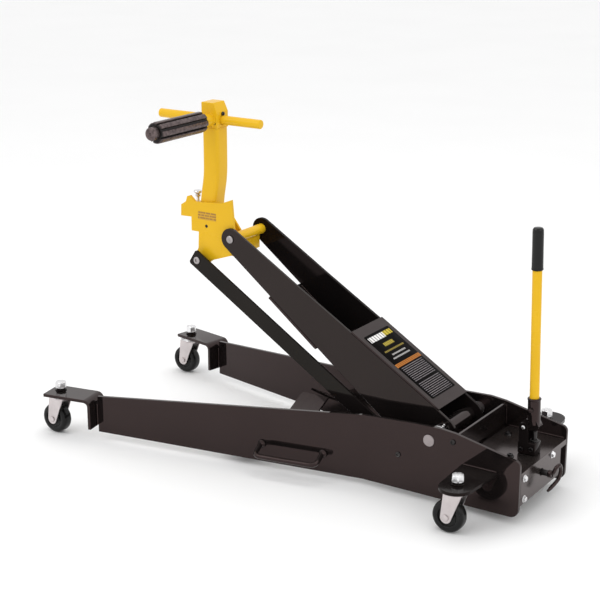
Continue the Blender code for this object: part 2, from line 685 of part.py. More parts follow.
def head_block():
    """Block on the post, bored for the arbor's shank, with the T-bar through it."""
    low, high = -HEAD_HALF_X, HEAD_HALF_X
    outline = [(POST_X + low, HEAD_BOTTOM_Z), (POST_X + high, HEAD_BOTTOM_Z),
               (POST_X + high, 822 * MM), (POST_X + high - 11 * MM, HEAD_TOP_Z), (POST_X + low, HEAD_TOP_Z)]
    obj = extrude("head_block", [outline], 2 * HEAD_HALF_Y, "XZ", POST_CENTRE_Y)
    boss = pin("head_boss", 16 * MM, 30 * MM, "Y", (POST_X, POST_CENTRE_Y - HEAD_HALF_Y - 13 * MM, ARBOR_Z))
    boolean(obj, boss, "UNION")
    bar_bore = pin("bar_bore", T_BAR_RADIUS + GAP, 80 * MM, "X", (POST_X, POST_CENTRE_Y, T_BAR_Z), 20)
    boolean(obj, bar_bore, "DIFFERENCE")
    shank = pin("shank_bore", 10 * MM + GAP, 60 * MM, "Y", (POST_X, POST_CENTRE_Y - 47 * MM, ARBOR_Z), 20)
    boolean(obj, shank, "DIFFERENCE")
    dress(obj, "yellow_paint")


def t_bar():
    """Handle bar through the head block."""
    front, rear = -442 * MM, -140 * MM
    bar = pin("t_bar", T_BAR_RADIUS, rear - front, "X", ((front + rear) / 2, POST_CENTRE_Y, T_BAR_Z), 20)
    round_edges(bar, 2 * MM)
    dress(bar, "yellow_paint")


def splined_arbor():
    """Splined arbor with a pilot nose and a shank that turns in the head block."""
    root_y = POST_CENTRE_Y - HEAD_HALF_Y - 31.5 * MM
    tip_y = -259 * MM
    tooth = 360 / SPLINE_TEETH
    outline = []
    for i in range(SPLINE_TEETH):
        start = i * tooth
        outline += arc(POST_X, ARBOR_Z, ARBOR_RADIUS, start - 0.31 * tooth, start + 0.31 * tooth, 4)
        outline += arc(POST_X, ARBOR_Z, ARBOR_ROOT_RADIUS, start + 0.38 * tooth, start + 0.62 * tooth, 1)
    obj = extrude("splined_arbor", [outline], root_y - tip_y, "XZ", (root_y + tip_y) / 2)
    round_edges_ends(obj)
    shank_end = POST_CENTRE_Y - 18 * MM
    shank = turned("arbor_shank", [(0, shank_end), (10 * MM, shank_end), (10 * MM, root_y - 5 * MM),
                                   (0, root_y - 5 * MM)], "Y", (POST_X, 0, ARBOR_Z), 20)
    boolean(obj, shank, "UNION")
    nose = turned("arbor_nose", [(0, tip_y + 5 * MM), (15.5 * MM, tip_y + 5 * MM), (15.5 * MM, tip_y - 15 * MM),
                                 (13.5 * MM, tip_y - 17 * MM), (0, tip_y - 17 * MM)], "Y", (POST_X, 0, ARBOR_Z), 24)
    boolean(obj, nose, "UNION")
    dress(obj, "dark_steel")


def round_edges_ends(obj):
    """Chamfer the two toothed ends by pulling their corners in with a short taper."""
    bm = bmesh.new()
    bm.from_mesh(obj.data)
    for sign in (-1, 1):
        bm.normal_update()
        group = [face for face in bm.faces if face.normal.y * sign > 0.9]
        result = bmesh.ops.extrude_face_region(bm, geom=group)
        moved = [item for item in result["geom"] if isinstance(item, bmesh.types.BMVert)]
        bmesh.ops.delete(bm, geom=group, context="FACES_ONLY")
        for vert in moved:
            vert.co.x = POST_X + (vert.co.x - POST_X) * 0.86
            vert.co.z = ARBOR_Z + (vert.co.z - ARBOR_Z) * 0.86
            vert.co.y += sign * 3 * MM
    bmesh.ops.recalc_face_normals(bm, faces=bm.faces)
    bm.to_mesh(obj.data)
    bm.free()


# ---- hydraulics ---------------------------------------------------------------
def pump_unit():
    """Pump block on the shelf with its lever pivot, and the ram under the shelf."""
    body = block("pump_body", (550 * MM, -17 * MM, SHELF_TOP_Z + GAP), (593 * MM, 17 * MM, 152 * MM), 3 * MM)
    for sign in (-1, 1):
        ear = [(553 * MM, 144 * MM), (576 * MM, 144 * MM)] + arc(LEVER_PIVOT.x, LEVER_PIVOT.z, 11 * MM, -10, 190, 8)
        tool = extrude("pump_ear", [ear], 5 * MM, "XZ", sign * 14 * MM)
        boolean(body, tool, "UNION")
    lever_bore = pin("lever_bore", 5 * MM + GAP, 70 * MM, "Y", LEVER_PIVOT, 14)
    boolean(body, lever_bore, "DIFFERENCE")
    plunger_bore = pin("plunger_bore", PLUNGER_RADIUS + GAP, 62 * MM, "Z", (PLUNGER_X, 0, 160 * MM), 20)
    boolean(body, plunger_bore, "DIFFERENCE")
    dress(body, "black_paint")
    dress(pin("lever_pivot_pin", 5 * MM, 39 * MM, "Y", LEVER_PIVOT, 14), "zinc_steel")
    plunger = turned("pump_plunger", [(0, 178 * MM), (PLUNGER_RADIUS, 178 * MM), (PLUNGER_RADIUS, 148 * MM),
                                      (0, 148 * MM)], "Z", (PLUNGER_X, 0, 0), 20)
    dress(plunger, "zinc_steel")
    front, back = 462 * MM, 596 * MM
    cylinder = turned("ram_cylinder", [(23 * MM, back), (23 * MM, front), (11 * MM + GAP, front),
                                       (11 * MM + GAP, back - 14 * MM), (6 * MM, back - 14 * MM),
                                       (6 * MM, back)], "X", (0, 0, RAM_Z), 28)
    dress(cylinder, "black_paint")
    nose_x = ARM_PIVOT.x - LUG_RADIUS * math.sin(LUG_REST) + 14 * MM
    rod = turned("ram_rod", [(0, 545 * MM), (11 * MM, 545 * MM), (11 * MM, nose_x + 10 * MM),
                             (9 * MM, nose_x + 4 * MM), (4 * MM, nose_x), (0, nose_x)],
                 "X", (0, 0, RAM_Z), 20)
    dress(rod, "dark_steel")


def pump_lever():
    """Lever on the pump's ears: a fork, a pusher over the plunger and the handle socket."""
    plate = [(553 * MM, 184 * MM), (558 * MM, 178 * MM), (566 * MM, 178 * MM), (594 * MM, 183 * MM),
             (597 * MM, 192 * MM), (590 * MM, 205 * MM), (566 * MM, 205 * MM), (553 * MM, 194 * MM)]
    base = extrude("handle_socket", [plate], 22 * MM, "XZ", 0)
    lean = Matrix.Translation((HANDLE_X, 0, 200 * MM)) @ Matrix.Rotation(HANDLE_LEAN, 4, "Y")
    tube = turned("socket_tube", [(0, 55 * MM), (14.5 * MM, 55 * MM), (14.5 * MM, -6 * MM), (0, -6 * MM)],
                  "Z", (0, 0, 0), 24)
    tube.matrix_world = lean
    boolean(base, tube, "UNION")
    hole = turned("socket_bore", [(0, 80 * MM), (11 * MM + GAP, 80 * MM), (11 * MM + GAP, 8 * MM), (0, 8 * MM)],
                  "Z", (0, 0, 0), 20)
    hole.matrix_world = lean
    boolean(base, hole, "DIFFERENCE")
    pivot_bore = pin("socket_pivot_bore", 5 * MM + GAP, 70 * MM, "Y", LEVER_PIVOT, 14)
    boolean(base, pivot_bore, "DIFFERENCE")
    dress(base, "black_paint")
    handle = turned("pump_handle", [(0, 350 * MM), (11 * MM, 350 * MM), (11 * MM, 8.6 * MM), (0, 8.6 * MM)],
                    "Z", (0, 0, 0), 20)
    handle.matrix_world = lean
    dress(handle, "yellow_paint")
    grip = turned("handle_grip", [(0, 446 * MM), (9 * MM, 446 * MM), (13 * MM, 442 * MM),
                                  (13.5 * MM, 350 * MM + GAP), (0, 350 * MM + GAP)], "Z", (0, 0, 0), 20)
    grip.matrix_world = lean
    dress(grip, "black_rubber")


def release_valve():
    """Release valve stem out of the end face, with its bent lever."""
    stem = turned("release_stem", [(0, 16 * MM), (7 * MM, 16 * MM), (7 * MM, -13 * MM), (0, -13 * MM)],
                  "X", (SIDE_REAR_X, VALVE_Y, VALVE_Z), 16)
    dress(stem, "zinc_steel")
    path = [(629, -12, 88), (638, -12, 91), (644, -11, 102), (646.5, -2, 108), (646.5, 9, 100), (645, 13, 84),
            (640, 5, 68), (636, -12, 58), (634, -28, 53)]
    lever = rod_along("release_lever", [Vector(p) * MM for p in path], 4.5 * MM)
    hub = pin("release_hub", 9 * MM, 10 * MM, "X", (631.4 * MM, VALVE_Y, VALVE_Z), 16)
    boolean(lever, hub, "UNION")
    dress(lever, "black_paint")


def main():
    """Build the jack from the floor up."""
    start_scene()
    both_sides("side_plate", side_plate, "black_paint")
    both_sides("front_bracket", front_bracket, "black_paint")
    both_sides("rear_caster_plate", rear_caster_plate, "black_paint")
    both_sides("carry_handle", carry_handle, "black_paint")
    both_sides("link_stub", link_stub, "zinc_steel")
    cross_brace()
    rear_shelf()
    transverse_plate()
    arm_pivot_shaft()
    casters()
    both_sides("arm_plate", arm_plate, "black_paint")
    arm_extras()
    both_sides("lower_link", lower_link, "black_paint")
    near_cheek()
    far_cheek()
    inner_cheek()
    bracket_rest()
    post_tube()
    post_pivot_pin()
    head_block()
    t_bar()
    splined_arbor()
    pump_unit()
    pump_lever()
    release_valve()


main()
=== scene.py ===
"""Truck clutch jack: the finished look of every piece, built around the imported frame.

Lengths in the sub-assemblies are millimetres times MM, and the profiles handed to
rounded() are in millimetres.  +Z is up, -X is the load end, +X is the pump end and
-Y is the near side.
"""
import logging
import math
from dataclasses import dataclass, replace
from enum import Enum

import bmesh
import bpy
import numpy as np
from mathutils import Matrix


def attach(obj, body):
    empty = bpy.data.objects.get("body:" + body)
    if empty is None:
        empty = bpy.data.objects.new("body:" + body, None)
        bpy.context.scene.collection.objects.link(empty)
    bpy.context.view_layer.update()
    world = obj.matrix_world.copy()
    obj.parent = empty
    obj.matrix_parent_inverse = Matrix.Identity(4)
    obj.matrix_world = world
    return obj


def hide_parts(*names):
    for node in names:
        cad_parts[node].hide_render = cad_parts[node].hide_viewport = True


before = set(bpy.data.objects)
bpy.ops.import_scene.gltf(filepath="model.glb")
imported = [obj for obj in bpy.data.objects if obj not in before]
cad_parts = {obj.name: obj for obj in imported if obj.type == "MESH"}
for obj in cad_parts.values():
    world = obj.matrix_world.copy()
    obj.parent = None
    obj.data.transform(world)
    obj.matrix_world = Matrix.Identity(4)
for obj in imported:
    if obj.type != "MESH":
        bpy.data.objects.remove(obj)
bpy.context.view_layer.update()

LOG = logging.getLogger("clutch_jack")
Array = np.ndarray
Pair = tuple[float, float]
Triple = tuple[float, float, float]
MM = 0.001
MERGE = 2e-6  # points closer than this are one
CREASE = math.radians(35)  # sharper edges of the plates are eased
MIRROR = np.array([1.0, -1.0, 1.0])  # from one side of the truck to the other
SQUARE = np.array([(1, 1), (-1, 1), (-1, -1), (1, -1)])  # corners of a square, in turn
X_AXIS: Triple = (1.0, 0.0, 0.0)
Y_AXIS: Triple = (0.0, 1.0, 0.0)
Z_AXIS: Triple = (0.0, 0.0, 1.0)


class Side(Enum):
    """The two sides of the truck, with the sign of their y."""

    NEAR = -1
    FAR = 1

    @property
    def label(self) -> str:
        """The word used in piece names."""
        return self.name.lower()


# ---- surfaces ---------------------------------------------------------------
def softened(points: list | Array, radius: float, steps: int = 4, closed: bool = False) -> Array:
    """Round the corners of a line of points.

    Each corner gives way to a quadratic curve that leaves and meets the straight
    stretches at the given distance from the corner.

    Args:
        points: corner points, one row each, in two or three dimensions.
        radius: distance from the corner to the curve's ends.
        steps: stretches in each curve.
        closed: True where the last point joins the first.

    Returns:
        The rounded line, one row for each point.
    """
    corner = np.asarray(points, float)
    back = np.roll(corner, 1, 0) - corner
    ahead = np.roll(corner, -1, 0) - corner
    back_length = np.linalg.norm(back, axis=1, keepdims=True)
    ahead_length = np.linalg.norm(ahead, axis=1, keepdims=True)
    start = corner + back / back_length * np.minimum(radius, 0.48 * back_length)
    end = corner + ahead / ahead_length * np.minimum(radius, 0.48 * ahead_length)
    t = np.linspace(0, 1, steps + 1)[None, :, None]
    curve = (1 - t) ** 2 * start[:, None] + 2 * t * (1 - t) * corner[:, None] + t**2 * end[:, None]
    width = corner.shape[1]
    if closed:
        return curve.reshape(-1, width)
    return np.vstack([corner[:1], curve[1:-1].reshape(-1, width), corner[-1:]])


def rounded(profile: list, radius: float, steps: int = 3, closed: bool = False) -> Array:
    """Round the corners of a profile written in millimetres.

    Args:
        profile: corner points.
        radius: distance from a corner to its curve's ends.
        steps: stretches in each curve.
        closed: True where the last point joins the first.

    Returns:
        The rounded line in metres.
    """
    return softened(np.asarray(profile, float) * MM, radius * MM, steps, closed)


def across(axis: Triple) -> tuple[Array, Array, Array]:
    """Two unit directions square to an axis.

    Args:
        axis: the direction to stand square to.

    Returns:
        side, up and the unit axis, a right-handed set.
    """
    along = np.asarray(axis, float)
    along = along / np.linalg.norm(along)
    hint = np.array(Z_AXIS) if abs(along[2]) < 0.9 else np.array(X_AXIS)
    side = np.cross(hint, along)
    side = side / np.linalg.norm(side)
    return side, np.cross(along, side), along


def turned(profile: Array, origin: Triple | Array, axis: Triple = Z_AXIS, steps: int = 48) -> Array:
    """Surface of revolution.

    point = origin + height * axis + radius * (cos(angle) * side + sin(angle) * up)

    Args:
        profile: rows of (radius, height).
        origin: where height is zero, on the axis.
        axis: the axis of the turning.
        steps: points round the axis.

    Returns:
        Grid of points, rows along the profile and columns round the axis.
    """
    side, up, along = across(axis)
    angle = np.linspace(0, 2 * math.pi, steps, endpoint=False)[None, :, None]
    spoke = np.cos(angle) * side + np.sin(angle) * up
    radius, height = profile[:, 0, None, None], profile[:, 1, None, None]
    return np.asarray(origin, float) + height * along + radius * spoke


def hexagon(apothem: float, low: float, high: float, origin: Triple | Array, axis: Triple) -> Array:
    """Six-sided head with a turned chamfer.

    radius(angle) = apothem / cos(angle to the nearest flat), cut off near the top
    by a cone: the smaller of the two radii counts.

    Args:
        apothem: half the distance across the flats.
        low: height where the head starts.
        high: height of its top.
        origin: point on the axis at height zero.
        axis: the head's axis.

    Returns:
        Grid of points, closed at both ends.
    """
    side, up, along = across(axis)
    angle = np.linspace(0, 2 * math.pi, 48, endpoint=False)
    to_flat = (angle + math.pi / 6) % (math.pi / 3) - math.pi / 6
    flats = apothem / np.cos(to_flat)
    drop = 0.16 * apothem
    heights = np.array([low, low, high - drop, high - 0.5 * drop, high, high])
    limit = np.array([0, 2, 1.2, 1.08, 0.96, 0]) * apothem
    radius = np.minimum(flats[None, :], limit[:, None])
    spoke = np.cos(angle)[:, None] * side + np.sin(angle)[:, None] * up
    place = np.asarray(origin, float) + heights[:, None, None] * along
    return place + radius[:, :, None] * spoke[None]


def swept(path: Array, section: Array, reference: Triple, scale: Array | float = 1.0) -> Array:
    """A section carried along a path and closed at both ends.

    point = path + scale * (u * side + v * up), with side square to the reference
    and the path, and up square to side and the path.

    Args:
        path: rows of points.
        section: closed section, rows of (u, v).
        reference: direction that the side is square to.
        scale: size of the section, one or one for each path point.

    Returns:
        Grid of points, rows along the path and columns round the section.
    """
    tangent = np.gradient(path, axis=0)
    tangent = tangent / np.linalg.norm(tangent, axis=1, keepdims=True)
    side = np.cross(np.asarray(reference, float), tangent)
    side = side / np.linalg.norm(side, axis=1, keepdims=True)
    up = np.cross(tangent, side)
    size = np.broadcast_to(np.asarray(scale, float), len(path))[:, None, None]
    grid = path[:, None] + size * (section[None, :, :1] * side[:, None] + section[None, :, 1:] * up[:, None])
    first = np.repeat(path[:1][:, None], len(section), 1)
    last = np.repeat(path[-1:][:, None], len(section), 1)
    return np.concatenate([first, grid, last])


def disc(radius: float, steps: int = 20) -> Array:
    """Points round a circle of that radius."""
    angle = np.linspace(0, 2 * math.pi, steps, endpoint=False)
    return np.stack([np.cos(angle), np.sin(angle)], 1) * radius


def bead(start: Triple | Array, end: Triple | Array, radius: float,
         reference: Triple = (0.3, 0.5, 0.8)) -> Array:
    """Weld bead between two points.

    A round section whose size ripples along the run, like overlapping scales:
    size = 1 - 0.22 * fraction of the ripple passed, and it tapers at both ends.

    Args:
        start: where the bead starts.
        end: where it ends.
        radius: its radius.
        reference: a direction that isn't along the bead.

    Returns:
        Grid of points, closed at both ends.
    """
    first, last = np.asarray(start, float), np.asarray(end, float)
    length = np.linalg.norm(last - first)
    ripples = max(4, round(length / (1.1 * radius)))
    s = np.linspace(0, 1, ripples * 4 + 1)
    passed = (s * ripples) % 1.0
    taper = np.clip(np.minimum(s, 1 - s) * length / radius + 0.35, 0, 1)
    size = (1 - 0.22 * passed) * taper
    path = first + s[:, None] * (last - first)
    return swept(path, disc(radius, 10), reference, size)


def box_grid(low: Triple, high: Triple, soft: float) -> Array:
    """Rounded upright block.

    A rounded rectangle carried upward, drawn in a little at the top and bottom.

    Args:
        low: lowest corner.
        high: highest corner.
        soft: radius of its edges.

    Returns:
        Grid of points, closed at both ends.
    """
    a, b = np.asarray(low, float), np.asarray(high, float)
    half = (b - a) / 2
    outline = softened(SQUARE * half[:2], soft, 3, closed=True)
    turn = np.linspace(0, math.pi / 2, 4)
    inset = np.concatenate([soft * (1 - np.sin(turn)), soft * (1 - np.cos(turn))])
    height = np.concatenate([a[2] + soft * (1 - np.cos(turn)), b[2] - soft * (1 - np.sin(turn))])
    shrink = 1 - inset[:, None] / half[:2]
    middle = (a + b)[:2] / 2
    flat = outline[None] * shrink[:, None] + middle
    rows = np.concatenate([flat, np.repeat(height[:, None, None], len(outline), 1)], 2)
    centre = np.repeat(middle[None, None], len(outline), 1)
    bottom = np.concatenate([centre, np.full((1, len(outline), 1), a[2])], 2)
    top = np.concatenate([centre, np.full((1, len(outline), 1), b[2])], 2)
    return np.concatenate([bottom, rows, top])


def film(origin: Array, along: Array, over: Array, size: Pair, soft: float, thick: float) -> Array:
    """Thin flat film with round corners and an eased edge.

    A rounded rectangle drawn in to its middle on top and straight down at its rim.

    Args:
        origin: corner of the film.
        along: unit direction of its length.
        over: unit direction of its width.
        size: length and width.
        soft: radius of the corners.
        thick: thickness, along the cross product of the two directions.

    Returns:
        Grid of points, closed at both ends.
    """
    length, width = size
    corners = np.array([(0, 0), (length, 0), (length, width), (0, width)])
    outline = softened(corners, soft, 4, closed=True)
    middle = outline.mean(0)
    shrink = np.array([0.0, 0.5, 0.998, 1.0, 1.0, 0.0])[:, None, None]
    lift = np.array([1.0, 1.0, 1.0, 0.85, 0.05, 0.05]) * thick
    flat = middle + (outline - middle)[None] * shrink
    up = np.cross(along, over)
    return origin + flat[..., :1] * along + flat[..., 1:] * over + lift[:, None, None] * up


def map_film(mesh: bpy.types.Mesh, origin: Array, along: Array, over: Array, size: Pair) -> None:
    """Give a film its own map: u runs along its width and v along its length, from 0 to 1.

    Args:
        mesh: the film's mesh.
        origin: corner of the film.
        along: unit direction of its length.
        over: unit direction of its width.
        size: length and width.
    """
    places = np.empty(len(mesh.vertices) * 3)
    mesh.vertices.foreach_get("co", places)
    places = places.reshape(-1, 3) - origin
    index = np.empty(len(mesh.loops), int)
    mesh.loops.foreach_get("vertex_index", index)
    pair = np.stack([places @ over / size[1], places @ along / size[0]], 1)
    mesh.uv_layers.new(name="label").uv.foreach_set("vector", pair[index].ravel())


def quad_faces(rows: int, columns: int, start: int = 0, loop: bool = False) -> Array:
    """Faces of a grid whose columns close on themselves.

    Args:
        rows: rows of the grid.
        columns: points in each row.
        start: number of the grid's first point.
        loop: True where the last row joins the first, as on a ring.

    Returns:
        The point numbers of each face, one row each.
    """
    index = np.arange(rows * columns).reshape(rows, columns) + start
    index = np.hstack([index, index[:, :1]])
    if loop:
        index = np.vstack([index, index[:1]])
    return np.stack([index[:-1, :-1], index[1:, :-1], index[1:, 1:], index[:-1, 1:]], -1).reshape(-1, 4)


class Shape:
    """Closed surfaces gathered into one mesh, in place."""

    def __init__(self) -> None:
        """Start with nothing."""
        self.points: list[Array] = []
        self.faces: list[Array] = []
        self.count = 0

    def add(self, grid: Array, loop: bool = False) -> "Shape":
        """Add a grid whose columns close on themselves.

        Args:
            grid: points, rows by columns by three.
            loop: True where the last row joins the first, as on a ring.

        Returns:
            This shape, so that calls can be chained.
        """
        rows, columns = grid.shape[:2]
        self.points.append(grid.reshape(-1, 3))
        self.faces.append(quad_faces(rows, columns, self.count, loop))
        self.count += rows * columns
        return self

    def mirrored(self) -> "Shape":
        """Add a copy of all so far on the other side of the middle plane."""
        self.points += [points * MIRROR for points in self.points]
        self.faces += [faces + self.count for faces in self.faces]
        self.count *= 2
        return self

    def piece(self, name: str, body: str, look: bpy.types.Material, slot: str, *nodes: str,
              sharp: float = 35.0) -> bpy.types.Object:
        """Make the object, dress it and fix it to its body.

        Args:
            name: name of the piece.
            body: body that it rides on.
            look: its material.
            slot: material slot of the record; not used.
            nodes: CAD nodes that it stands for.
            sharp: edges that turn further than this many degrees stay crisp.

        Returns:
            The finished object.
        """
        mesh = bpy.data.meshes.new(name)
        mesh.from_pydata(np.concatenate(self.points).tolist(), [], np.concatenate(self.faces).tolist())
        tidy_mesh(mesh, sharp)
        return settled(name, mesh, body, look, nodes)


def tidy_mesh(mesh: bpy.types.Mesh, sharp: float) -> None:
    """Close seams and poles, turn the faces outward and shade them.

    Args:
        mesh: the mesh to tidy.
        sharp: edges that turn further than this many degrees stay crisp.
    """
    bm = bmesh.new()
    bm.from_mesh(mesh)
    bmesh.ops.remove_doubles(bm, verts=bm.verts, dist=MERGE)
    bmesh.ops.dissolve_degenerate(bm, edges=bm.edges, dist=1e-7)
    bmesh.ops.recalc_face_normals(bm, faces=bm.faces)
    bm.to_mesh(mesh)
    bm.free()
    mesh.shade_smooth()
    mesh.set_sharp_from_angle(angle=math.radians(sharp))


def settled(name: str, mesh: bpy.types.Mesh, body: str, look: bpy.types.Material,
            nodes: tuple[str, ...]) -> bpy.types.Object:
    """Put a mesh in the scene on its body.

    Args:
        name: name of the piece.
        mesh: its mesh, in place.
        body: body that it rides on.
        look: its material.
        nodes: CAD nodes that it stands for.

    Returns:
        The new object.
    """
    thing = bpy.data.objects.new(name, mesh)
    bpy.context.scene.collection.objects.link(thing)
    mesh.materials.clear()
    mesh.materials.append(look)
    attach(thing, body)
    if nodes:
        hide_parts(*nodes)
    return thing


def eased(node: str, body: str, look: bpy.types.Material, edge: float = 1.2 * MM,
          segments: int = 2) -> bpy.types.Object:
    """A CAD piece with its edges eased, as a plate is after grinding and painting.

    Args:
        node: CAD node to copy.
        body: body that it rides on.
        look: its material.
        edge: width of the eased edge.
        segments: facets across it.

    Returns:
        The finished object, which stands for the node.
    """
    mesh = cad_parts[node].data.copy()
    mesh.name = node + "_finished"
    bm = bmesh.new()
    bm.from_mesh(mesh)
    bmesh.ops.remove_doubles(bm, verts=bm.verts, dist=MERGE)
    bmesh.ops.dissolve_limit(bm, angle_limit=math.radians(0.5), verts=bm.verts, edges=bm.edges)
    bm.to_mesh(mesh)
    bm.free()
    mesh.shade_smooth()
    mesh.set_sharp_from_angle(angle=CREASE)
    if mesh.attributes.get("custom_normal"):
        mesh.attributes.remove(mesh.attributes["custom_normal"])
    thing = settled(node + "_finished", mesh, body, look, (node,))
    ease = thing.modifiers.new("eased_edges", "BEVEL")
    ease.width = edge
    ease.segments = segments
    ease.limit_method = "ANGLE"
    ease.angle_limit = CREASE
    ease.harden_normals = True
    return thing


# ---- shader building ---------------------------------------------------------
class Graph:
    """A node tree with short ways to add and join nodes."""

    def __init__(self, tree: bpy.types.NodeTree) -> None:
        """Work on that tree."""
        self.tree = tree

    def add(self, kind: str, inputs: dict | None = None, **settings: object) -> bpy.types.Node:
        """Add a node.

        Args:
            kind: Blender's type name for the node.
            inputs: socket names or numbers, with a value or the socket to join.
            settings: properties of the node.

        Returns:
            The new node.
        """
        node = self.tree.nodes.new(kind)
        for key, value in settings.items():
            setattr(node, key, value)
        for key, value in (inputs or {}).items():
            if isinstance(value, bpy.types.NodeSocket):
                self.tree.links.new(value, node.inputs[key])
            else:
                node.inputs[key].default_value = value
        return node

    def math(self, operation: str, first: object, second: object = 0.0) -> bpy.types.NodeSocket:
        """One sum on two values; returns its output."""
        return self.add("ShaderNodeMath", {0: first, 1: second}, operation=operation).outputs[0]

    def ramp(self, value: bpy.types.NodeSocket, low: float, high: float, out_low: object = 0.0,
             out_high: object = 1.0) -> bpy.types.NodeSocket:
        """Map a value from one range to another, held at the ends; returns the output."""
        inputs = {"Value": value, "From Min": low, "From Max": high, "To Min": out_low, "To Max": out_high}
        return self.add("ShaderNodeMapRange", inputs).outputs["Result"]

    def noise(self, vector: bpy.types.NodeSocket, scale: object, detail: float) -> bpy.types.NodeSocket:
        """Add a noise texture; returns its value."""
        return self.add("ShaderNodeTexNoise", {"Vector": vector, "Scale": scale, "Detail": detail}).outputs[0]

    def blend(self, mask: object, first: object, second: object) -> bpy.types.NodeSocket:
        """Mix two colours by a mask; returns the colour."""
        node = self.add("ShaderNodeMix", data_type="RGBA")
        for slot, value in ((0, mask), (6, first), (7, second)):
            if isinstance(value, bpy.types.NodeSocket):
                self.tree.links.new(value, node.inputs[slot])
            else:
                node.inputs[slot].default_value = value
        return node.outputs[2]


def new_group(name: str, inputs: dict[str, float], outputs: list[str]) -> tuple[Graph, dict, bpy.types.Node]:
    """Start a shader group.

    Args:
        name: name of the group.
        inputs: its number inputs, with their defaults.
        outputs: its number outputs.

    Returns:
        The graph inside, its input sockets by name and the group's output node.
    """
    tree = bpy.data.node_groups.new(name, "ShaderNodeTree")
    tree.interface.new_socket("Vector", in_out="INPUT", socket_type="NodeSocketVector")
    for label, value in inputs.items():
        socket = tree.interface.new_socket(label, in_out="INPUT", socket_type="NodeSocketFloat")
        socket.default_value = value
    for label in outputs:
        tree.interface.new_socket(label, in_out="OUTPUT", socket_type="NodeSocketFloat")
    entry = tree.nodes.new("NodeGroupInput")
    leave = tree.nodes.new("NodeGroupOutput")
    return Graph(tree), {socket.name: socket for socket in entry.outputs}, leave


def peel_group() -> bpy.types.NodeTree:
    """Orange peel of sprayed enamel: fine noise over a slow swell, as a height."""
    graph, given, leave = new_group("orange_peel", {"Scale": 260.0, "Swell": 0.4}, ["Height"])
    fine = graph.noise(given["Vector"], given["Scale"], 1.0)
    swell = graph.math("MULTIPLY", graph.noise(given["Vector"], 14.0, 1.0), given["Swell"])
    graph.tree.links.new(graph.math("ADD", fine, swell), leave.inputs["Height"])
    return graph.tree


def wear_group() -> bpy.types.NodeTree:
    """Worn edges: where a softened normal leaves the true one, broken up by noise."""
    graph, given, leave = new_group("edge_wear", {"Width": 0.0012, "Amount": 0.5, "Scale": 90.0}, ["Mask"])
    soft = graph.add("ShaderNodeBevel", {"Radius": given["Width"]}, samples=4)
    true = graph.add("ShaderNodeNewGeometry")
    dot = graph.add("ShaderNodeVectorMath", {0: soft.outputs[0], 1: true.outputs["Normal"]},
                    operation="DOT_PRODUCT")
    edge = graph.ramp(dot.outputs["Value"], 0.99, 0.80)
    broken = graph.ramp(graph.noise(given["Vector"], given["Scale"], 4.0), 0.45, 0.62)
    mask = graph.math("MULTIPLY", graph.math("MULTIPLY", edge, broken), given["Amount"])
    graph.tree.links.new(mask, leave.inputs["Mask"])
    return graph.tree


def dust_group() -> bpy.types.NodeTree:
    """Settled dust: faces that look up, in soft patches."""
    graph, given, leave = new_group("settled_dust", {"Scale": 30.0, "Amount": 0.2}, ["Mask"])
    true = graph.add("ShaderNodeNewGeometry")
    parts = graph.add("ShaderNodeSeparateXYZ", {0: true.outputs["Normal"]})
    facing = graph.ramp(parts.outputs["Z"], 0.3, 1.0)
    inputs = {"Vector": given["Vector"], "Scale": given["Scale"], "Detail": 6.0, "Roughness": 0.65}
    patch = graph.ramp(graph.add("ShaderNodeTexNoise", inputs).outputs[0], 0.38, 0.75)
    mask = graph.math("MULTIPLY", graph.math("MULTIPLY", facing, patch), given["Amount"])
    graph.tree.links.new(mask, leave.inputs["Mask"])
    return graph.tree


def smudge_group() -> bpy.types.NodeTree:
    """Handling marks: noise with fine detail, from low to high."""
    graph, given, leave = new_group("smudges", {"Scale": 9.0, "Low": 0.1, "High": 0.2}, ["Value"])
    wide = graph.noise(given["Vector"], given["Scale"], 5.0)
    graph.tree.links.new(graph.ramp(wide, 0.35, 0.7, given["Low"], given["High"]), leave.inputs["Value"])
    return graph.tree


def grain_group() -> bpy.types.NodeTree:
    """Tool marks: noise stretched across the axis that it is given."""
    graph, given, leave = new_group("tool_grain", {"Along": 60.0, "Across": 900.0}, ["Value"])
    scale = graph.add("ShaderNodeCombineXYZ", {0: given["Along"], 1: given["Across"], 2: given["Across"]})
    spread = graph.add("ShaderNodeVectorMath", {0: given["Vector"], 1: scale.outputs[0]},
                       operation="MULTIPLY")
    graph.tree.links.new(graph.noise(spread.outputs[0], 1.0, 3.0), leave.inputs["Value"])
    return graph.tree


PEEL = peel_group()
WEAR = wear_group()
DUST = dust_group()
SMUDGE = smudge_group()
GRAIN = grain_group()


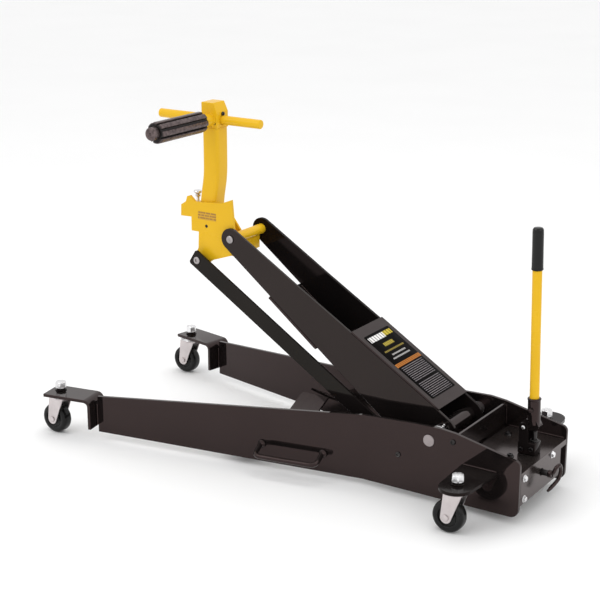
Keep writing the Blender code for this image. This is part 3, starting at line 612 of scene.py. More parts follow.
class Finish:
    """Shared start of a material: a shader, object coordinates and the groups."""

    def __init__(self, name: str) -> None:
        """Make the material.

        Args:
            name: name of the material.
        """
        self.material = bpy.data.materials.new(name)
        self.material.use_nodes = True
        self.graph = Graph(self.material.node_tree)
        self.shader = self.material.node_tree.nodes["Principled BSDF"]
        self.place = self.graph.add("ShaderNodeTexCoord").outputs["Object"]

    def group(self, tree: bpy.types.NodeTree, **values: float) -> bpy.types.NodeSocket:
        """Place a shared group with this material's own values.

        Args:
            tree: the group.
            values: its inputs by name.

        Returns:
            The group's output.
        """
        node = self.graph.add("ShaderNodeGroup", node_tree=tree)
        self.graph.tree.links.new(self.place, node.inputs["Vector"])
        for label, value in values.items():
            node.inputs[label].default_value = value
        return node.outputs[0]

    def feed(self, **sockets: object) -> None:
        """Set or join the shader's inputs; an underscore stands for a space."""
        for label, value in sockets.items():
            socket = self.shader.inputs[label.replace("_", " ")]
            if isinstance(value, bpy.types.NodeSocket):
                self.graph.tree.links.new(value, socket)
            else:
                socket.default_value = value

    def label_map(self) -> tuple[bpy.types.NodeSocket, bpy.types.NodeSocket]:
        """The u and v of the piece's own map."""
        place = self.graph.add("ShaderNodeUVMap", uv_map="label").outputs[0]
        parts = self.graph.add("ShaderNodeSeparateXYZ", {0: place})
        return parts.outputs["X"], parts.outputs["Y"]

    def relief(self, height: bpy.types.NodeSocket, strength: float, distance: float) -> None:
        """Join a height to the shader's normal through a bump."""
        inputs = {"Height": height, "Strength": strength, "Distance": distance}
        self.feed(Normal=self.graph.add("ShaderNodeBump", inputs).outputs[0])


@dataclass(frozen=True)
class Enamel:
    """Sprayed gloss enamel over steel, with orange peel, smudges, dust and worn edges."""

    name: str
    colour: Triple
    shade: Triple
    worn: Triple
    rough: Pair
    peel: float
    dust: float
    wear: float
    specular: float = 0.5
    tint: Triple = (1.0, 1.0, 1.0)

    def build(self) -> bpy.types.Material:
        """Make the material."""
        finish = Finish(self.name)
        graph = finish.graph
        tone = finish.group(SMUDGE, Scale=5.0, Low=0.0, High=1.0)
        base = graph.blend(tone, (*self.colour, 1), (*self.shade, 1))
        dusted = graph.blend(finish.group(DUST, Amount=self.dust), base, (0.42, 0.39, 0.36, 1))
        worn = finish.group(WEAR, Amount=self.wear)
        finish.feed(Base_Color=graph.blend(worn, dusted, (*self.worn, 1)),
                    Roughness=finish.group(SMUDGE, Scale=11.0, Low=self.rough[0], High=self.rough[1]),
                    Specular_IOR_Level=self.specular, Specular_Tint=(*self.tint, 1))
        finish.relief(finish.group(PEEL), self.peel, 0.0004)
        return finish.material


@dataclass(frozen=True)
class BareSteel:
    """Plated or machined steel with tool grain, stains and brighter edges."""

    name: str
    colour: Triple
    stain: Triple
    rough: Pair
    along: float = 60.0
    grain: float = 900.0
    strength: float = 0.12
    metallic: float = 1.0

    def build(self) -> bpy.types.Material:
        """Make the material."""
        finish = Finish(self.name)
        graph = finish.graph
        marks = finish.group(GRAIN, Along=self.along, Across=self.grain)
        tone = finish.group(SMUDGE, Scale=38.0, Low=0.0, High=0.9)
        base = graph.blend(tone, (*self.colour, 1), (*self.stain, 1))
        bright = finish.group(WEAR, Amount=0.5, Scale=160.0)
        rough = graph.ramp(marks, 0.3, 0.7, self.rough[0], self.rough[1])
        finish.feed(Base_Color=graph.blend(bright, base, (0.86, 0.86, 0.86, 1)), Roughness=rough,
                    Metallic=self.metallic)
        finish.relief(marks, self.strength, 0.0003)
        return finish.material


@dataclass(frozen=True)
class Moulded:
    """Moulded black rubber or vinyl with a fine pebble and scuffs."""

    name: str
    colour: Triple
    scuff: Triple
    rough: Pair
    pebble: float
    specular: float

    def build(self) -> bpy.types.Material:
        """Make the material."""
        finish = Finish(self.name)
        graph = finish.graph
        scuffs = finish.group(SMUDGE, Scale=45.0, Low=0.0, High=0.7)
        base = graph.blend(scuffs, (*self.colour, 1), (*self.scuff, 1))
        dusted = graph.blend(finish.group(DUST, Amount=0.10, Scale=60.0), base, (0.3, 0.28, 0.26, 1))
        finish.feed(Base_Color=dusted,
                    Roughness=finish.group(SMUDGE, Scale=24.0, Low=self.rough[0], High=self.rough[1]),
                    Specular_IOR_Level=self.specular)
        pebbles = graph.add("ShaderNodeTexVoronoi", {"Vector": finish.place, "Scale": 900.0})
        finish.relief(pebbles.outputs["Distance"], self.pebble, 0.0002)
        return finish.material


@dataclass(frozen=True)
class ArborSteel:
    """Oiled arbor steel: brown-grey tooth tops over grooves painted near-black as shade."""

    name: str
    centre: Pair
    root: float
    tip: float

    def build(self) -> bpy.types.Material:
        """Make the material; the mask is the distance from the arbor's axis."""
        finish = Finish(self.name)
        graph = finish.graph
        parts = graph.add("ShaderNodeSeparateXYZ", {0: finish.place})
        dx = graph.math("SUBTRACT", parts.outputs["X"], self.centre[0])
        dz = graph.math("SUBTRACT", parts.outputs["Z"], self.centre[1])
        square = graph.math("ADD", graph.math("MULTIPLY", dx, dx), graph.math("MULTIPLY", dz, dz))
        top = graph.ramp(graph.math("SQRT", square), self.root, self.tip)
        nose = graph.ramp(parts.outputs["Y"], -0.2590, -0.2598)
        raised = graph.math("MAXIMUM", top, nose)
        marks = finish.group(GRAIN, Along=500.0, Across=120.0)
        tone = finish.group(SMUDGE, Scale=120.0, Low=0.0, High=1.0)
        land = graph.blend(tone, (0.155, 0.118, 0.116, 1), (0.058, 0.043, 0.043, 1))
        # tooth tops and the nose take the land colour; the grooves take a near-black colour as painted shade
        # between the teeth
        finish.feed(Base_Color=graph.blend(raised, (0.018, 0.015, 0.015, 1), land),
                    Roughness=graph.ramp(marks, 0.3, 0.7, 0.28, 0.46), Metallic=0.75)
        finish.relief(marks, 0.25, 0.0004)
        return finish.material


@dataclass(frozen=True)
class LabelFilm:
    """Printed vinyl label with plain bars: a dark head, an orange band and grey rules.

    The piece's own map runs across (u) and down (v) the label.
    """

    name: str
    head_end: float
    band_end: float

    def build(self) -> bpy.types.Material:
        """Make the material."""
        finish = Finish(self.name)
        graph = finish.graph
        u, v = finish.label_map()

        def between(value: bpy.types.NodeSocket, low: float, high: float) -> bpy.types.NodeSocket:
            """One where low < value < high, else zero."""
            above = graph.math("GREATER_THAN", value, low)
            return graph.math("MULTIPLY", above, graph.math("LESS_THAN", value, high))

        def repeated(value: bpy.types.NodeSocket, times: float, share: float) -> bpy.types.NodeSocket:
            """One over the first share of each of so many equal steps, else zero."""
            return graph.math("LESS_THAN", graph.math("FRACT", graph.math("MULTIPLY", value, times)), share)

        def bar(u_low: float, u_high: float, v_low: float, v_high: float,
                cells: float = 0.0) -> bpy.types.NodeSocket:
            """Mask of a plain bar, cut into short blocks when cells is given."""
            mask = graph.math("MULTIPLY", between(u, u_low, u_high), between(v, v_low, v_high))
            if cells:
                mask = graph.math("MULTIPLY", mask, repeated(u, cells, 0.80))
            return mask

        paint = (0.004, 0.0035, 0.0035, 1)
        rules = 40.0
        cell = graph.add("ShaderNodeCombineXYZ", {
            0: graph.math("MULTIPLY", u, 60.0), 1: graph.math("FLOOR", graph.math("MULTIPLY", v, rules))})
        gaps = graph.math("GREATER_THAN", graph.noise(cell.outputs[0], 1.0, 0.0), 0.40)
        row = graph.math("MULTIPLY", repeated(v, rules, 0.36), gaps)
        text = graph.math("MULTIPLY", row, bar(0.07, 0.93, self.band_end + 0.02, 0.98))
        text = graph.math("MULTIPLY", text, graph.math("SUBTRACT", 1.0, between(v, 0.742, 0.765)))
        band = between(v, self.head_end, self.band_end)
        inner = bar(0.04, 0.96, self.head_end, self.band_end)
        stripes = graph.math("MULTIPLY", repeated(v, 60.0, 0.34), inner)
        layers = (
            (bar(0.05, 0.64, 0.035, 0.108, 10.0), (0.78, 0.77, 0.76, 1)),
            (bar(0.64, 0.95, 0.035, 0.098, 10.0), (0.56, 0.44, 0.06, 1)),
            (bar(0.32, 0.70, 0.165, 0.212, 16.0), (0.42, 0.33, 0.06, 1)),
            (bar(0.12, 0.90, 0.262, 0.284, 18.0), (0.26, 0.20, 0.05, 1)),
            (bar(0.24, 0.80, 0.325, 0.345, 20.0), (0.40, 0.39, 0.38, 1)),
            (bar(0.16, 0.84, 0.375, 0.395, 20.0), (0.40, 0.39, 0.38, 1)),
            (band, (0.44, 0.165, 0.038, 1)),
            (stripes, (0.16, 0.05, 0.015, 1)),
            (text, (0.22, 0.20, 0.21, 1)),
        )
        colour: object = paint
        for mask, ink in layers:
            colour = graph.blend(mask, colour, ink)
        finish.feed(Base_Color=colour, Roughness=finish.group(SMUDGE, Scale=30.0, Low=0.42, High=0.55),
                    Specular_IOR_Level=0.02)
        finish.relief(finish.group(PEEL, Scale=400.0), 0.04, 0.0002)
        return finish.material


@dataclass(frozen=True)
class RatingFilm:
    """Faint data plate: short brown bars in rows on the paint's own yellow."""

    name: str
    ground: Triple
    ink: Triple
    rows: float

    def build(self) -> bpy.types.Material:
        """Make the material; the map's u crosses the rows and v runs along them."""
        finish = Finish(self.name)
        graph = finish.graph
        u, v = finish.label_map()
        row = graph.math("MULTIPLY", u, self.rows)
        line = graph.math("LESS_THAN", graph.math("FRACT", row), 0.62)
        cell = graph.add("ShaderNodeCombineXYZ", {
            0: graph.math("MULTIPLY", v, 15.0), 1: graph.math("MULTIPLY", graph.math("FLOOR", row), 3.0)})
        bars = graph.math("MULTIPLY", line, graph.ramp(graph.noise(cell.outputs[0], 1.0, 0.0), 0.36, 0.42))
        finish.feed(Base_Color=graph.blend(bars, (*self.ground, 1), (*self.ink, 1)),
                    Roughness=finish.group(SMUDGE, Scale=30.0, Low=0.34, High=0.46), Specular_IOR_Level=0.3)
        return finish.material


@dataclass(frozen=True)
class Backdrop:
    """Pale studio floor."""

    name: str
    colour: Triple

    def build(self) -> bpy.types.Material:
        """Make the material."""
        finish = Finish(self.name)
        low = (*[value * 0.985 for value in self.colour], 1)
        tone = finish.group(SMUDGE, Scale=1.5, Low=0.0, High=1.0)
        finish.feed(Base_Color=finish.graph.blend(tone, (*self.colour, 1), low), Roughness=0.7,
                    Specular_IOR_Level=0.15)
        return finish.material


RAIL_ENAMEL = Enamel("black_enamel", (0.0060, 0.0050, 0.0050), (0.0095, 0.0075, 0.0072), (0.05, 0.045, 0.04),
                     rough=(0.035, 0.07), peel=0.02, dust=0.02, wear=0.25, specular=0.42,
                     tint=(1.0, 0.70, 0.68))
BLACK = RAIL_ENAMEL.build()
# copies of the black enamel with weaker reflection: painted shade on the near arm plate and on the lower
# links
ARM_SHADED_BLACK = replace(RAIL_ENAMEL, name="arm_shaded_enamel", specular=0.33, tint=(1.0, 0.80, 0.75)).build()
LINK_SHADED_BLACK = replace(RAIL_ENAMEL, name="link_shaded_enamel", specular=0.17, tint=(1.0, 0.92, 0.80)).build()
# copy of the black enamel with its reflection turned right down: painted shade on the far arm plate, the rear
# caster plates, the caster spacers and the pump block
SHADED_BLACK = replace(RAIL_ENAMEL, name="shaded_enamel", specular=0.10, rough=(0.08, 0.14)).build()
# copy of the black enamel with a stronger, broader reflection and a lighter tone: painted sheen on the rear
# shelf
SHELF_SHEEN_BLACK = replace(RAIL_ENAMEL, name="shelf_sheen_enamel", specular=0.65, rough=(0.15, 0.24),
                      shade=(0.016, 0.013, 0.012)).build()
YELLOW = Enamel("yellow_enamel", (0.775, 0.46, 0.012), (0.735, 0.425, 0.010), (0.62, 0.36, 0.03),
                rough=(0.26, 0.38), peel=0.05, dust=0.02, wear=0.20, specular=0.22).build()
ZINC = BareSteel("bright_zinc", (0.82, 0.82, 0.83), (0.66, 0.65, 0.65), (0.22, 0.36)).build()
FORK_ZINC = BareSteel("stamped_zinc", (0.62, 0.57, 0.57), (0.52, 0.475, 0.475), (0.30, 0.42),
                      along=300.0, grain=300.0, strength=0.05).build()
DARK = BareSteel("blackened_steel", (0.05, 0.047, 0.047), (0.028, 0.026, 0.026), (0.24, 0.38)).build()
SHAFT = BareSteel("ground_shaft", (0.36, 0.32, 0.32), (0.27, 0.235, 0.235), (0.38, 0.52),
                  along=400.0, grain=400.0, strength=0.08).build()
PIN_STEEL = BareSteel("pin_steel", (0.44, 0.41, 0.41), (0.28, 0.26, 0.26), (0.30, 0.44),
                      along=400.0, grain=400.0, strength=0.1).build()
TYRE = Moulded("caster_tyre", (0.004, 0.004, 0.0042), (0.009, 0.0088, 0.0088), (0.14, 0.28),
               pebble=0.05, specular=0.22).build()
VINYL = Moulded("grip_vinyl", (0.004, 0.004, 0.004), (0.007, 0.007, 0.007), (0.14, 0.26),
                pebble=0.10, specular=0.30).build()
ARBOR = ArborSteel("arbor_steel", centre=(-0.276, 0.803), root=0.0215, tip=0.0245).build()
LABEL = LabelFilm("label_film", head_end=0.455, band_end=0.505).build()
RATING = RatingFilm("rating_film", (0.62, 0.35, 0.022), (0.36, 0.18, 0.035), rows=3.0).build()
FLOOR = Backdrop("pale_floor", (0.95, 0.95, 0.95)).build()


# ---- truck -------------------------------------------------------------------
@dataclass
class Truck:
    """Rails, caster plates, brace, shelf and carry handles: the body that rolls."""

    body: str = "truck"
    outer_y: float = 128.5 * MM
    plate: float = 8 * MM
    bend_x: float = 211 * MM
    splay: float = math.radians(10.7)
    rail_run: float = 708 * MM
    shelf_z: float = 122 * MM
    shaft: Pair = (384 * MM, 152 * MM)

    def rail_point(self, run: float, out: float, z: float) -> Array:
        """Point on the near rail.

        Args:
            run: distance forward of the bend.
            out: distance outward of the rail's outer face.
            z: height.

        Returns:
            The point.
        """
        c, s = math.cos(self.splay), math.sin(self.splay)
        return np.array([self.bend_x - run * c + out * s, -self.outer_y - run * s - out * c, z])

    def plates(self) -> None:
        """Rails, brackets, brace and shelf, from the frame with their edges eased."""
        for side in Side:
            eased("side_plate_" + side.label, self.body, BLACK, 1.3 * MM, 3)
            eased("front_bracket_" + side.label, self.body, BLACK, 1.5 * MM, 3)
            # the rear caster plates take the dimmed copy of the enamel as painted shade on their tops
            eased("rear_caster_plate_" + side.label, self.body, SHADED_BLACK, 2.2 * MM, 3)
        for node, look in (("cross_brace", BLACK), ("rear_shelf", SHELF_SHEEN_BLACK), ("transverse_plate", BLACK)):
            eased(node, self.body, look, 1.1 * MM, 3)

    def carry_handles(self) -> None:
        """Round bar, bent out of the rail and back, hanging a little."""
        foot, reach, drop, radius = 6.6 * MM, 44 * MM, 17 * MM, 6 * MM
        first, last = 100 * MM, 258 * MM
        corners = [self.rail_point(run, out, 66 * MM - drop * out / reach)
                   for run, out in ((first, foot), (first, reach), (last, reach), (last, foot))]
        path = softened(corners, 17 * MM, 10)
        path = np.vstack([path[0], (path[0] + path[1]) / 2, path[1:-1], (path[-1] + path[-2]) / 2, path[-1]])
        for side, points in ((Side.NEAR, path), (Side.FAR, path * MIRROR)):
            bar = Shape().add(swept(points, disc(radius, 24), (0.05, 0.1, 1.0)))
            for end in (points[0], points[-1]):
                inward = np.array([0.0, 5.0 * MM * -side.value, 0.0])
                spread = np.array([1.75, 1.55, 1.3, 1.12, 1.0])
                fillet = np.linspace(end + inward * 0.9, end - inward * 0.4, 5)
                bar.add(swept(fillet, disc(radius, 20), (0.0, 0.1, 1.0), spread))
            bar.piece("carry_bar_" + side.label, self.body, BLACK, "black_paint",
                      "carry_handle_" + side.label)

    def shafts(self) -> None:
        """Arm shaft with ground ends, and the stub shafts of the lower links."""
        half = 130
        x, z = self.shaft
        profile = rounded([(0, -half), (13.9, -half), (13.9, half), (0, half)], 0.8)
        Shape().add(turned(profile, (x, 0, z), Y_AXIS, 64)).piece(
            "arm_shaft", self.body, SHAFT, "zinc_steel", "arm_pivot_shaft")
        for side in Side:
            low, high = sorted((side.value * 72.2, side.value * 120.1))
            stub = rounded([(0, low), (8.9, low), (8.9, high), (0, high)], 1.0)
            Shape().add(turned(stub, (290 * MM, 0, 88 * MM), Y_AXIS, 40)).piece(
                "link_stub_shaft_" + side.label, self.body, ZINC, "zinc_steel", "link_stub_" + side.label)

    def collars(self) -> None:
        """Spacer collars on the shaft between the arm and the rails, each with a grease fitting."""
        x, z = self.shaft
        collar = Shape()
        profile = rounded([(14.3, 74), (20, 74), (20, 84), (14.3, 84)], 1.2, closed=True)
        collar.add(turned(profile, (x, 0, z), Y_AXIS, 40), loop=True)
        fitting = rounded([(0, 19), (3.5, 19), (3.5, 23), (2, 25), (2.6, 28), (0, 29)], 0.6, 2)
        collar.add(turned(fitting, (x, 79 * MM, z), (0.45, 0.0, 0.89), 20))
        collar.mirrored().piece("shaft_collars", self.body, ZINC, "zinc_steel")

    def bolts(self) -> None:
        """Button screws on the rails, screws on the shelf and zinc bolts on the end face."""
        dark = Shape()
        for x, z in ((445 * MM, 162 * MM), (306 * MM, 100 * MM)):
            head = rounded([(0, 0), (6.8, 0), (6.4, 2.4), (3.6, 3.6), (3.1, 1.4), (0, 1.2)], 0.7)
            dark.add(turned(head, (x, -self.outer_y - 0.1 * MM, z), (0, -1, 0), 32))
        dark.mirrored()
        for x, y in ((486 * MM, -70 * MM), (486 * MM, 70 * MM), (546 * MM, -44 * MM), (546 * MM, 44 * MM)):
            head = rounded([(0, 0), (9, 0), (9, 1.6), (6, 1.8), (6, 6), (3.2, 6.4), (3, 3), (0, 3)], 0.5, 2)
            dark.add(turned(head, (x, y, self.shelf_z + 0.1 * MM), Z_AXIS, 32))
        dark.piece("black_screws", self.body, DARK, "dark_steel")
        bright = Shape()
        for y, z in ((-104, 106), (-103, 57), (42, 111)):
            centre = (610.1 * MM, y * MM, z * MM)
            washer = rounded([(0, 0), (8.5, 0), (8.5, 1.4), (0, 1.4)], 0.4, 2)
            bright.add(turned(washer, centre, X_AXIS, 32))
            bright.add(hexagon(5.8 * MM, 1.3 * MM, 6.2 * MM, centre, X_AXIS))
        bright.piece("end_face_bolts", self.body, ZINC, "zinc_steel")

    def welds(self) -> None:
        """Fillet welds where the plates meet."""
        inner = self.outer_y - self.plate
        weld = Shape()
        top = self.shelf_z + 1.2 * MM
        weld.add(bead((462 * MM, -inner, top), (604 * MM, -inner, top), 2.6 * MM))
        weld.add(bead((446.6 * MM, -inner, 120 * MM), (446.6 * MM, -inner, 174 * MM), 2.4 * MM, X_AXIS))
        weld.add(bead((455.4 * MM, -inner, 126 * MM), (455.4 * MM, -inner, 174 * MM), 2.4 * MM, X_AXIS))
        outer = -self.outer_y - 1 * MM
        for z, radius in ((116.2 * MM, 2.6 * MM), (105.6 * MM, 2.4 * MM)):
            weld.add(bead((471 * MM, outer, z), (555 * MM, outer, z), radius))
        for out in (1.2 * MM, -9.2 * MM):
            low = self.rail_point(self.rail_run + 0.4 * MM, out, 42 * MM)
            high = self.rail_point(self.rail_run + 0.4 * MM, out, 98 * MM)
            weld.add(bead(low, high, 2.8 * MM, X_AXIS))
        weld.mirrored().piece("truck_welds", self.body, BLACK, "black_paint", sharp=60.0)

    def build(self) -> None:
        """Make every piece of the truck."""
        self.plates()
        self.carry_handles()
        self.shafts()
        self.collars()
        self.bolts()
        self.welds()
        LOG.info("truck done")


@dataclass
class Caster:
    """Swivel caster: stem bolt, raceway, stamped fork, wheel and axle."""

    end: str
    side: Side
    x: float
    y: float
    plate_top: float = 115 * MM
    plate: float = 8 * MM
    trail: float = 17 * MM
    wheel_radius: float = 38 * MM
    half_width: float = 15 * MM

    @property
    def label(self) -> str:
        """Name that the caster's pieces start with."""
        return f"{self.end}_{self.side.label}_caster"

    def stem_bolt(self) -> None:
        """Hexagon head on a black spacer, down through the plate."""
        top = self.plate_top + 0.3 * MM
        base = (self.x, self.y, top)
        shank = rounded([(0, -26), (5.9, -26), (5.9, 6.4), (13.6, 6.4), (13.6, 9), (0, 9)], 0.6)
        bolt = Shape().add(turned(shank, base, Z_AXIS, 48))
        bolt.add(hexagon(12.6 * MM, 8 * MM, 22.4 * MM, base, Z_AXIS))
        rim = rounded([(0, 22), (9, 22), (8.4, 23.6), (0, 23.6)], 0.6)
        bolt.add(turned(rim, base, Z_AXIS, 40))
        bolt.piece(self.label + "_king_bolt", "truck", ZINC, "zinc_steel", self.label + "_stem_bolt")
        spacer = rounded([(6.2, 0), (14.6, 0), (14.6, 1.8), (11.6, 2.6), (11.6, 6.1), (6.2, 6.1)],
                         0.5, closed=True)
        Shape().add(turned(spacer, base, Z_AXIS, 48), loop=True).piece(
            self.label + "_spacer", "truck", SHADED_BLACK, "black_paint")

    def fork(self) -> None:
        """Stamped fork from the frame, with a bright bearing ring and its dust lip."""
        eased(self.label + "_fork", self.label + "_swivel", FORK_ZINC, 0.9 * MM, 3)
        under = self.plate_top - self.plate - 0.3 * MM
        profile = rounded([(24, -0.3), (28.8, -0.3), (29.6, -1.5), (28.6, -2.7), (27.2, -3.4),
                           (28.8, -4.3), (30.2, -5.8), (28.6, -7.4), (24, -7.0)], 0.45, closed=True)
        ring = Shape().add(turned(profile, (self.x, self.y, under), Z_AXIS, 56), loop=True)
        ring.piece(self.label + "_bearing_ring", self.label + "_swivel", ZINC, "zinc_steel")

    def wheel(self) -> None:
        """Tyre with a crowned tread, dished web and hub, as one turned ring."""
        r, h = self.wheel_radius, self.half_width
        half = [(5.4 * MM, h), (10.5 * MM, h), (12.5 * MM, h - 4.6 * MM), (21 * MM, h - 5.4 * MM),
                (23.5 * MM, h - 0.8 * MM), (30.5 * MM, h - 0.2 * MM), (35.6 * MM, h - 2.2 * MM),
                (r - 0.5 * MM, h - 6.4 * MM), (r, h - 11 * MM)]
        profile = half + [(a, -b) for a, b in half[::-1]]
        line = softened(profile, 1.6 * MM, 3, closed=True)
        tyre = Shape().add(turned(line, (self.x - self.trail, self.y, r), Y_AXIS, 72), loop=True)
        tyre.piece(self.label + "_tyre", self.label + "_roller", TYRE, "caster_wheel", self.label + "_wheel")

    def axle(self) -> None:
        """Axle bolt: domed head outside, nut inside."""
        centre = (self.x - self.trail, self.y, self.wheel_radius)
        out = (0, self.side.value, 0)
        rod = rounded([(0, -23.8), (4.9, -23.8), (4.9, 20.4), (7.9, 20.4), (7.3, 22.6), (4.5, 23.9),
                       (0, 24.1)], 0.5)
        bolt = Shape().add(turned(rod, centre, out, 40))
        bolt.add(hexagon(6.8 * MM, 20.4 * MM, 23.9 * MM, centre, (0, -self.side.value, 0)))
        bolt.piece(self.label + "_axle_bolt", self.label + "_swivel", FORK_ZINC, "zinc_steel",
                   self.label + "_axle")

    def build(self) -> None:
        """Make the caster."""
        self.stem_bolt()
        self.fork()
        self.wheel()
        self.axle()
        LOG.info("%s done", self.label)


# ---- lift arm and links ---------------------------------------------------------
@dataclass
class LiftArm:
    """Two side plates, cover with its label, belly plate, pivot tube and head pin."""

    body: str = "lift_arm"
    head: Pair = (-205 * MM, 521 * MM)
    foot: Pair = (384 * MM, 152 * MM)
    half_width: float = 70 * MM
    plate: float = 8 * MM

    def point(self, along: float, above: float, y: float) -> Array:
        """Point on the arm, from its place along and above the line between its pivots."""
        run = np.array([self.foot[0] - self.head[0], self.foot[1] - self.head[1]])
        run = run / np.linalg.norm(run)
        x = self.head[0] + along * run[0] - above * run[1]
        z = self.head[1] + along * run[1] + above * run[0]
        return np.array([x, y, z])

    def plates(self) -> None:
        """Side plates, cover, belly plate and pivot tube from the frame."""
        eased("arm_plate_near", self.body, ARM_SHADED_BLACK, 1.3 * MM, 3)
        # the far arm plate takes the dimmed copy of the enamel as painted shade
        eased("arm_plate_far", self.body, SHADED_BLACK, 1.3 * MM, 3)
        eased("arm_cover_plate", self.body, BLACK, 1.0 * MM, 3)
        eased("arm_belly_plate", self.body, BLACK, 1.2 * MM, 3)
        eased("arm_pivot_tube", self.body, BLACK, 1.0 * MM, 2)

    def head_pin(self) -> None:
        """Pin with a chamfered head and a centre mark at each end."""
        half, face = 70.4, 74.1
        end = [(8, half), (9.5, half), (9.5, face - 1.0), (7.6, face), (2.6, face), (1.8, face - 1.6),
               (0, face - 1.8)]
        line = rounded([(r, -h) for r, h in end[::-1]] + end, 0.5)
        Shape().add(turned(line, (self.head[0], 0, self.head[1]), Y_AXIS, 48)).piece(
            "head_pin", self.body, PIN_STEEL, "zinc_steel", "arm_head_pin")

    def label(self) -> None:
        """Printed label: a thin film with round corners on the cover plate."""
        start, size = 28 * MM, (218 * MM, 110 * MM)
        first = self.point(385 * MM, 38.8 * MM, 0)
        last = self.point(660 * MM, 42.4 * MM, 0)
        along = (last - first) / np.linalg.norm(last - first)
        over = np.array(Y_AXIS)
        if np.cross(along, over)[2] < 0:
            over = -over
        corner = first + along * start - over * size[1] / 2
        sheet = Shape().add(film(corner, along, over, size, 4 * MM, 0.45 * MM))
        map_film(sheet.piece("arm_label", self.body, LABEL, "black_paint").data, corner, along, over, size)

    def welds(self) -> None:
        """Weld beads along the cover and the belly plate."""
        weld = Shape()
        low = self.point(392 * MM, 34 * MM, -self.half_width + 7 * MM)
        high = self.point(652 * MM, 36.6 * MM, -self.half_width + 7 * MM)
        weld.add(bead(low, high, 1.8 * MM))
        low = self.point(170 * MM, -44.4 * MM, -self.half_width + 9.4 * MM)
        high = self.point(326 * MM, -60.4 * MM, -self.half_width + 9.4 * MM)
        weld.add(bead(low, high, 2.4 * MM))
        weld.mirrored().piece("arm_welds", self.body, BLACK, "black_paint", sharp=60.0)

    def build(self) -> None:
        """Make the arm."""
        self.plates()
        self.head_pin()
        self.label()
        self.welds()
        LOG.info("lift arm done")


@dataclass
class LowerLinks:
    """The two flat bars under the arm."""

    body: str = "lower_links"

    def build(self) -> None:
        """Make the bars."""
        for side in Side:
            eased("lower_link_" + side.label, self.body, LINK_SHADED_BLACK, 1.1 * MM, 3)
        LOG.info("lower links done")


# ---- load bracket, post and arbor -------------------------------------------------
@dataclass
class LoadBracket:
    """Yellow cheeks, web, link pin, post pin and adjusting bolt."""

    body: str = "load_bracket"
    link_pin: Pair = (-299 * MM, 457 * MM)
    post_pin: Triple = (-284 * MM, -28.4 * MM, 541 * MM)
    bolt: Pair = (-332 * MM, -28.4 * MM)

    def plates(self) -> None:
        """Cheeks, web and lug from the frame."""
        for node, edge in (("load_bracket_near_cheek", 1.4), ("load_bracket_far_cheek", 1.0),
                           ("load_bracket_inner_cheek", 1.0), ("load_bracket_web", 0.8),
                           ("adjuster_lug", 1.4)):
            eased(node, self.body, YELLOW, edge * MM, 3)

    def pins(self) -> None:
        """Link pin with recessed ends, and the pin that the post tilts on."""
        half, face = 81.4, 84.2
        end = [(8, half), (9, half), (9, face - 0.8), (7.8, face), (4.2, face), (3.6, face - 3.2),
               (0, face - 3.4)]
        line = rounded([(r, -h) for r, h in end[::-1]] + end, 0.4)
        Shape().add(turned(line, (self.link_pin[0], 0, self.link_pin[1]), Y_AXIS, 48)).piece(
            "link_pin", self.body, PIN_STEEL, "zinc_steel", "link_head_pin")
        x, _, z = self.post_pin
        low, high = -59.6, 0.4
        rod = rounded([(0, low + 2), (2.2, low + 2), (2.6, low), (3.9, low), (3.9, high), (0, high)], 0.4)
        Shape().add(turned(rod, (x, 0, z), Y_AXIS, 32)).piece(
            "tilt_pin", self.body, DARK, "dark_steel", "post_pivot_pin")

    def adjuster(self) -> None:
        """Adjusting bolt: threaded stem under a wide flared head."""
        x, y = self.bolt
        turns = np.linspace(0, 1, 97)
        thread = 4.15 * MM - 0.45 * MM * np.abs((turns * 24) % 1.0 * 2 - 1)
        stem = np.stack([thread, 566.6 * MM + turns * 44 * MM], 1)
        head = rounded([(4.2, 610.6), (7.4, 611.4), (10.9, 615), (10.9, 617.4), (9.6, 619.6), (0, 619.9)],
                       0.6)
        line = np.vstack([[(0, 566.2 * MM)], stem, head])
        bolt = Shape().add(turned(line, (x, y, 0), Z_AXIS, 40))
        bolt.add(hexagon(6.4 * MM, 604.6 * MM, 609.4 * MM, (x, y, 0), Z_AXIS))
        bolt.piece("adjusting_bolt", "adjuster", ZINC, "zinc_steel", "adjuster_bolt")

    def welds(self) -> None:
        """Beads where the web meets the near cheek and the pivot tube."""
        weld = Shape()
        for start, end, radius, reference in (
                ((-205.6, -50.6, 478), (-205.6, -50.6, 505), 2.2, X_AXIS),
                ((-206, -48, 509.4), (-206, 52, 509.4), 2.0, X_AXIS),
                ((-344, -51, 577.4), (-326, -51, 577.4), 1.8, Z_AXIS)):
            weld.add(bead(np.array(start) * MM, np.array(end) * MM, radius * MM, reference))
        weld.piece("bracket_welds", self.body, YELLOW, "yellow_paint", sharp=60.0)

    def rating_plate(self) -> None:
        """Small data plate on the near cheek, with plain bars."""
        corner = np.array([-309 * MM, -60.0 * MM, 576 * MM])
        along, over, size = np.array(X_AXIS), np.array([0.0, 0.0, -1.0]), (55 * MM, 20 * MM)
        sheet = Shape().add(film(corner + over * size[1], along, -over, size, 2 * MM, 0.3 * MM))
        plate = sheet.piece("rating_plate", self.body, RATING, "yellow_paint")
        map_film(plate.data, corner, along, over, size)

    def build(self) -> None:
        """Make the bracket."""
        self.plates()
        self.rating_plate()
        self.pins()
        self.adjuster()
        self.welds()
        LOG.info("load bracket done")


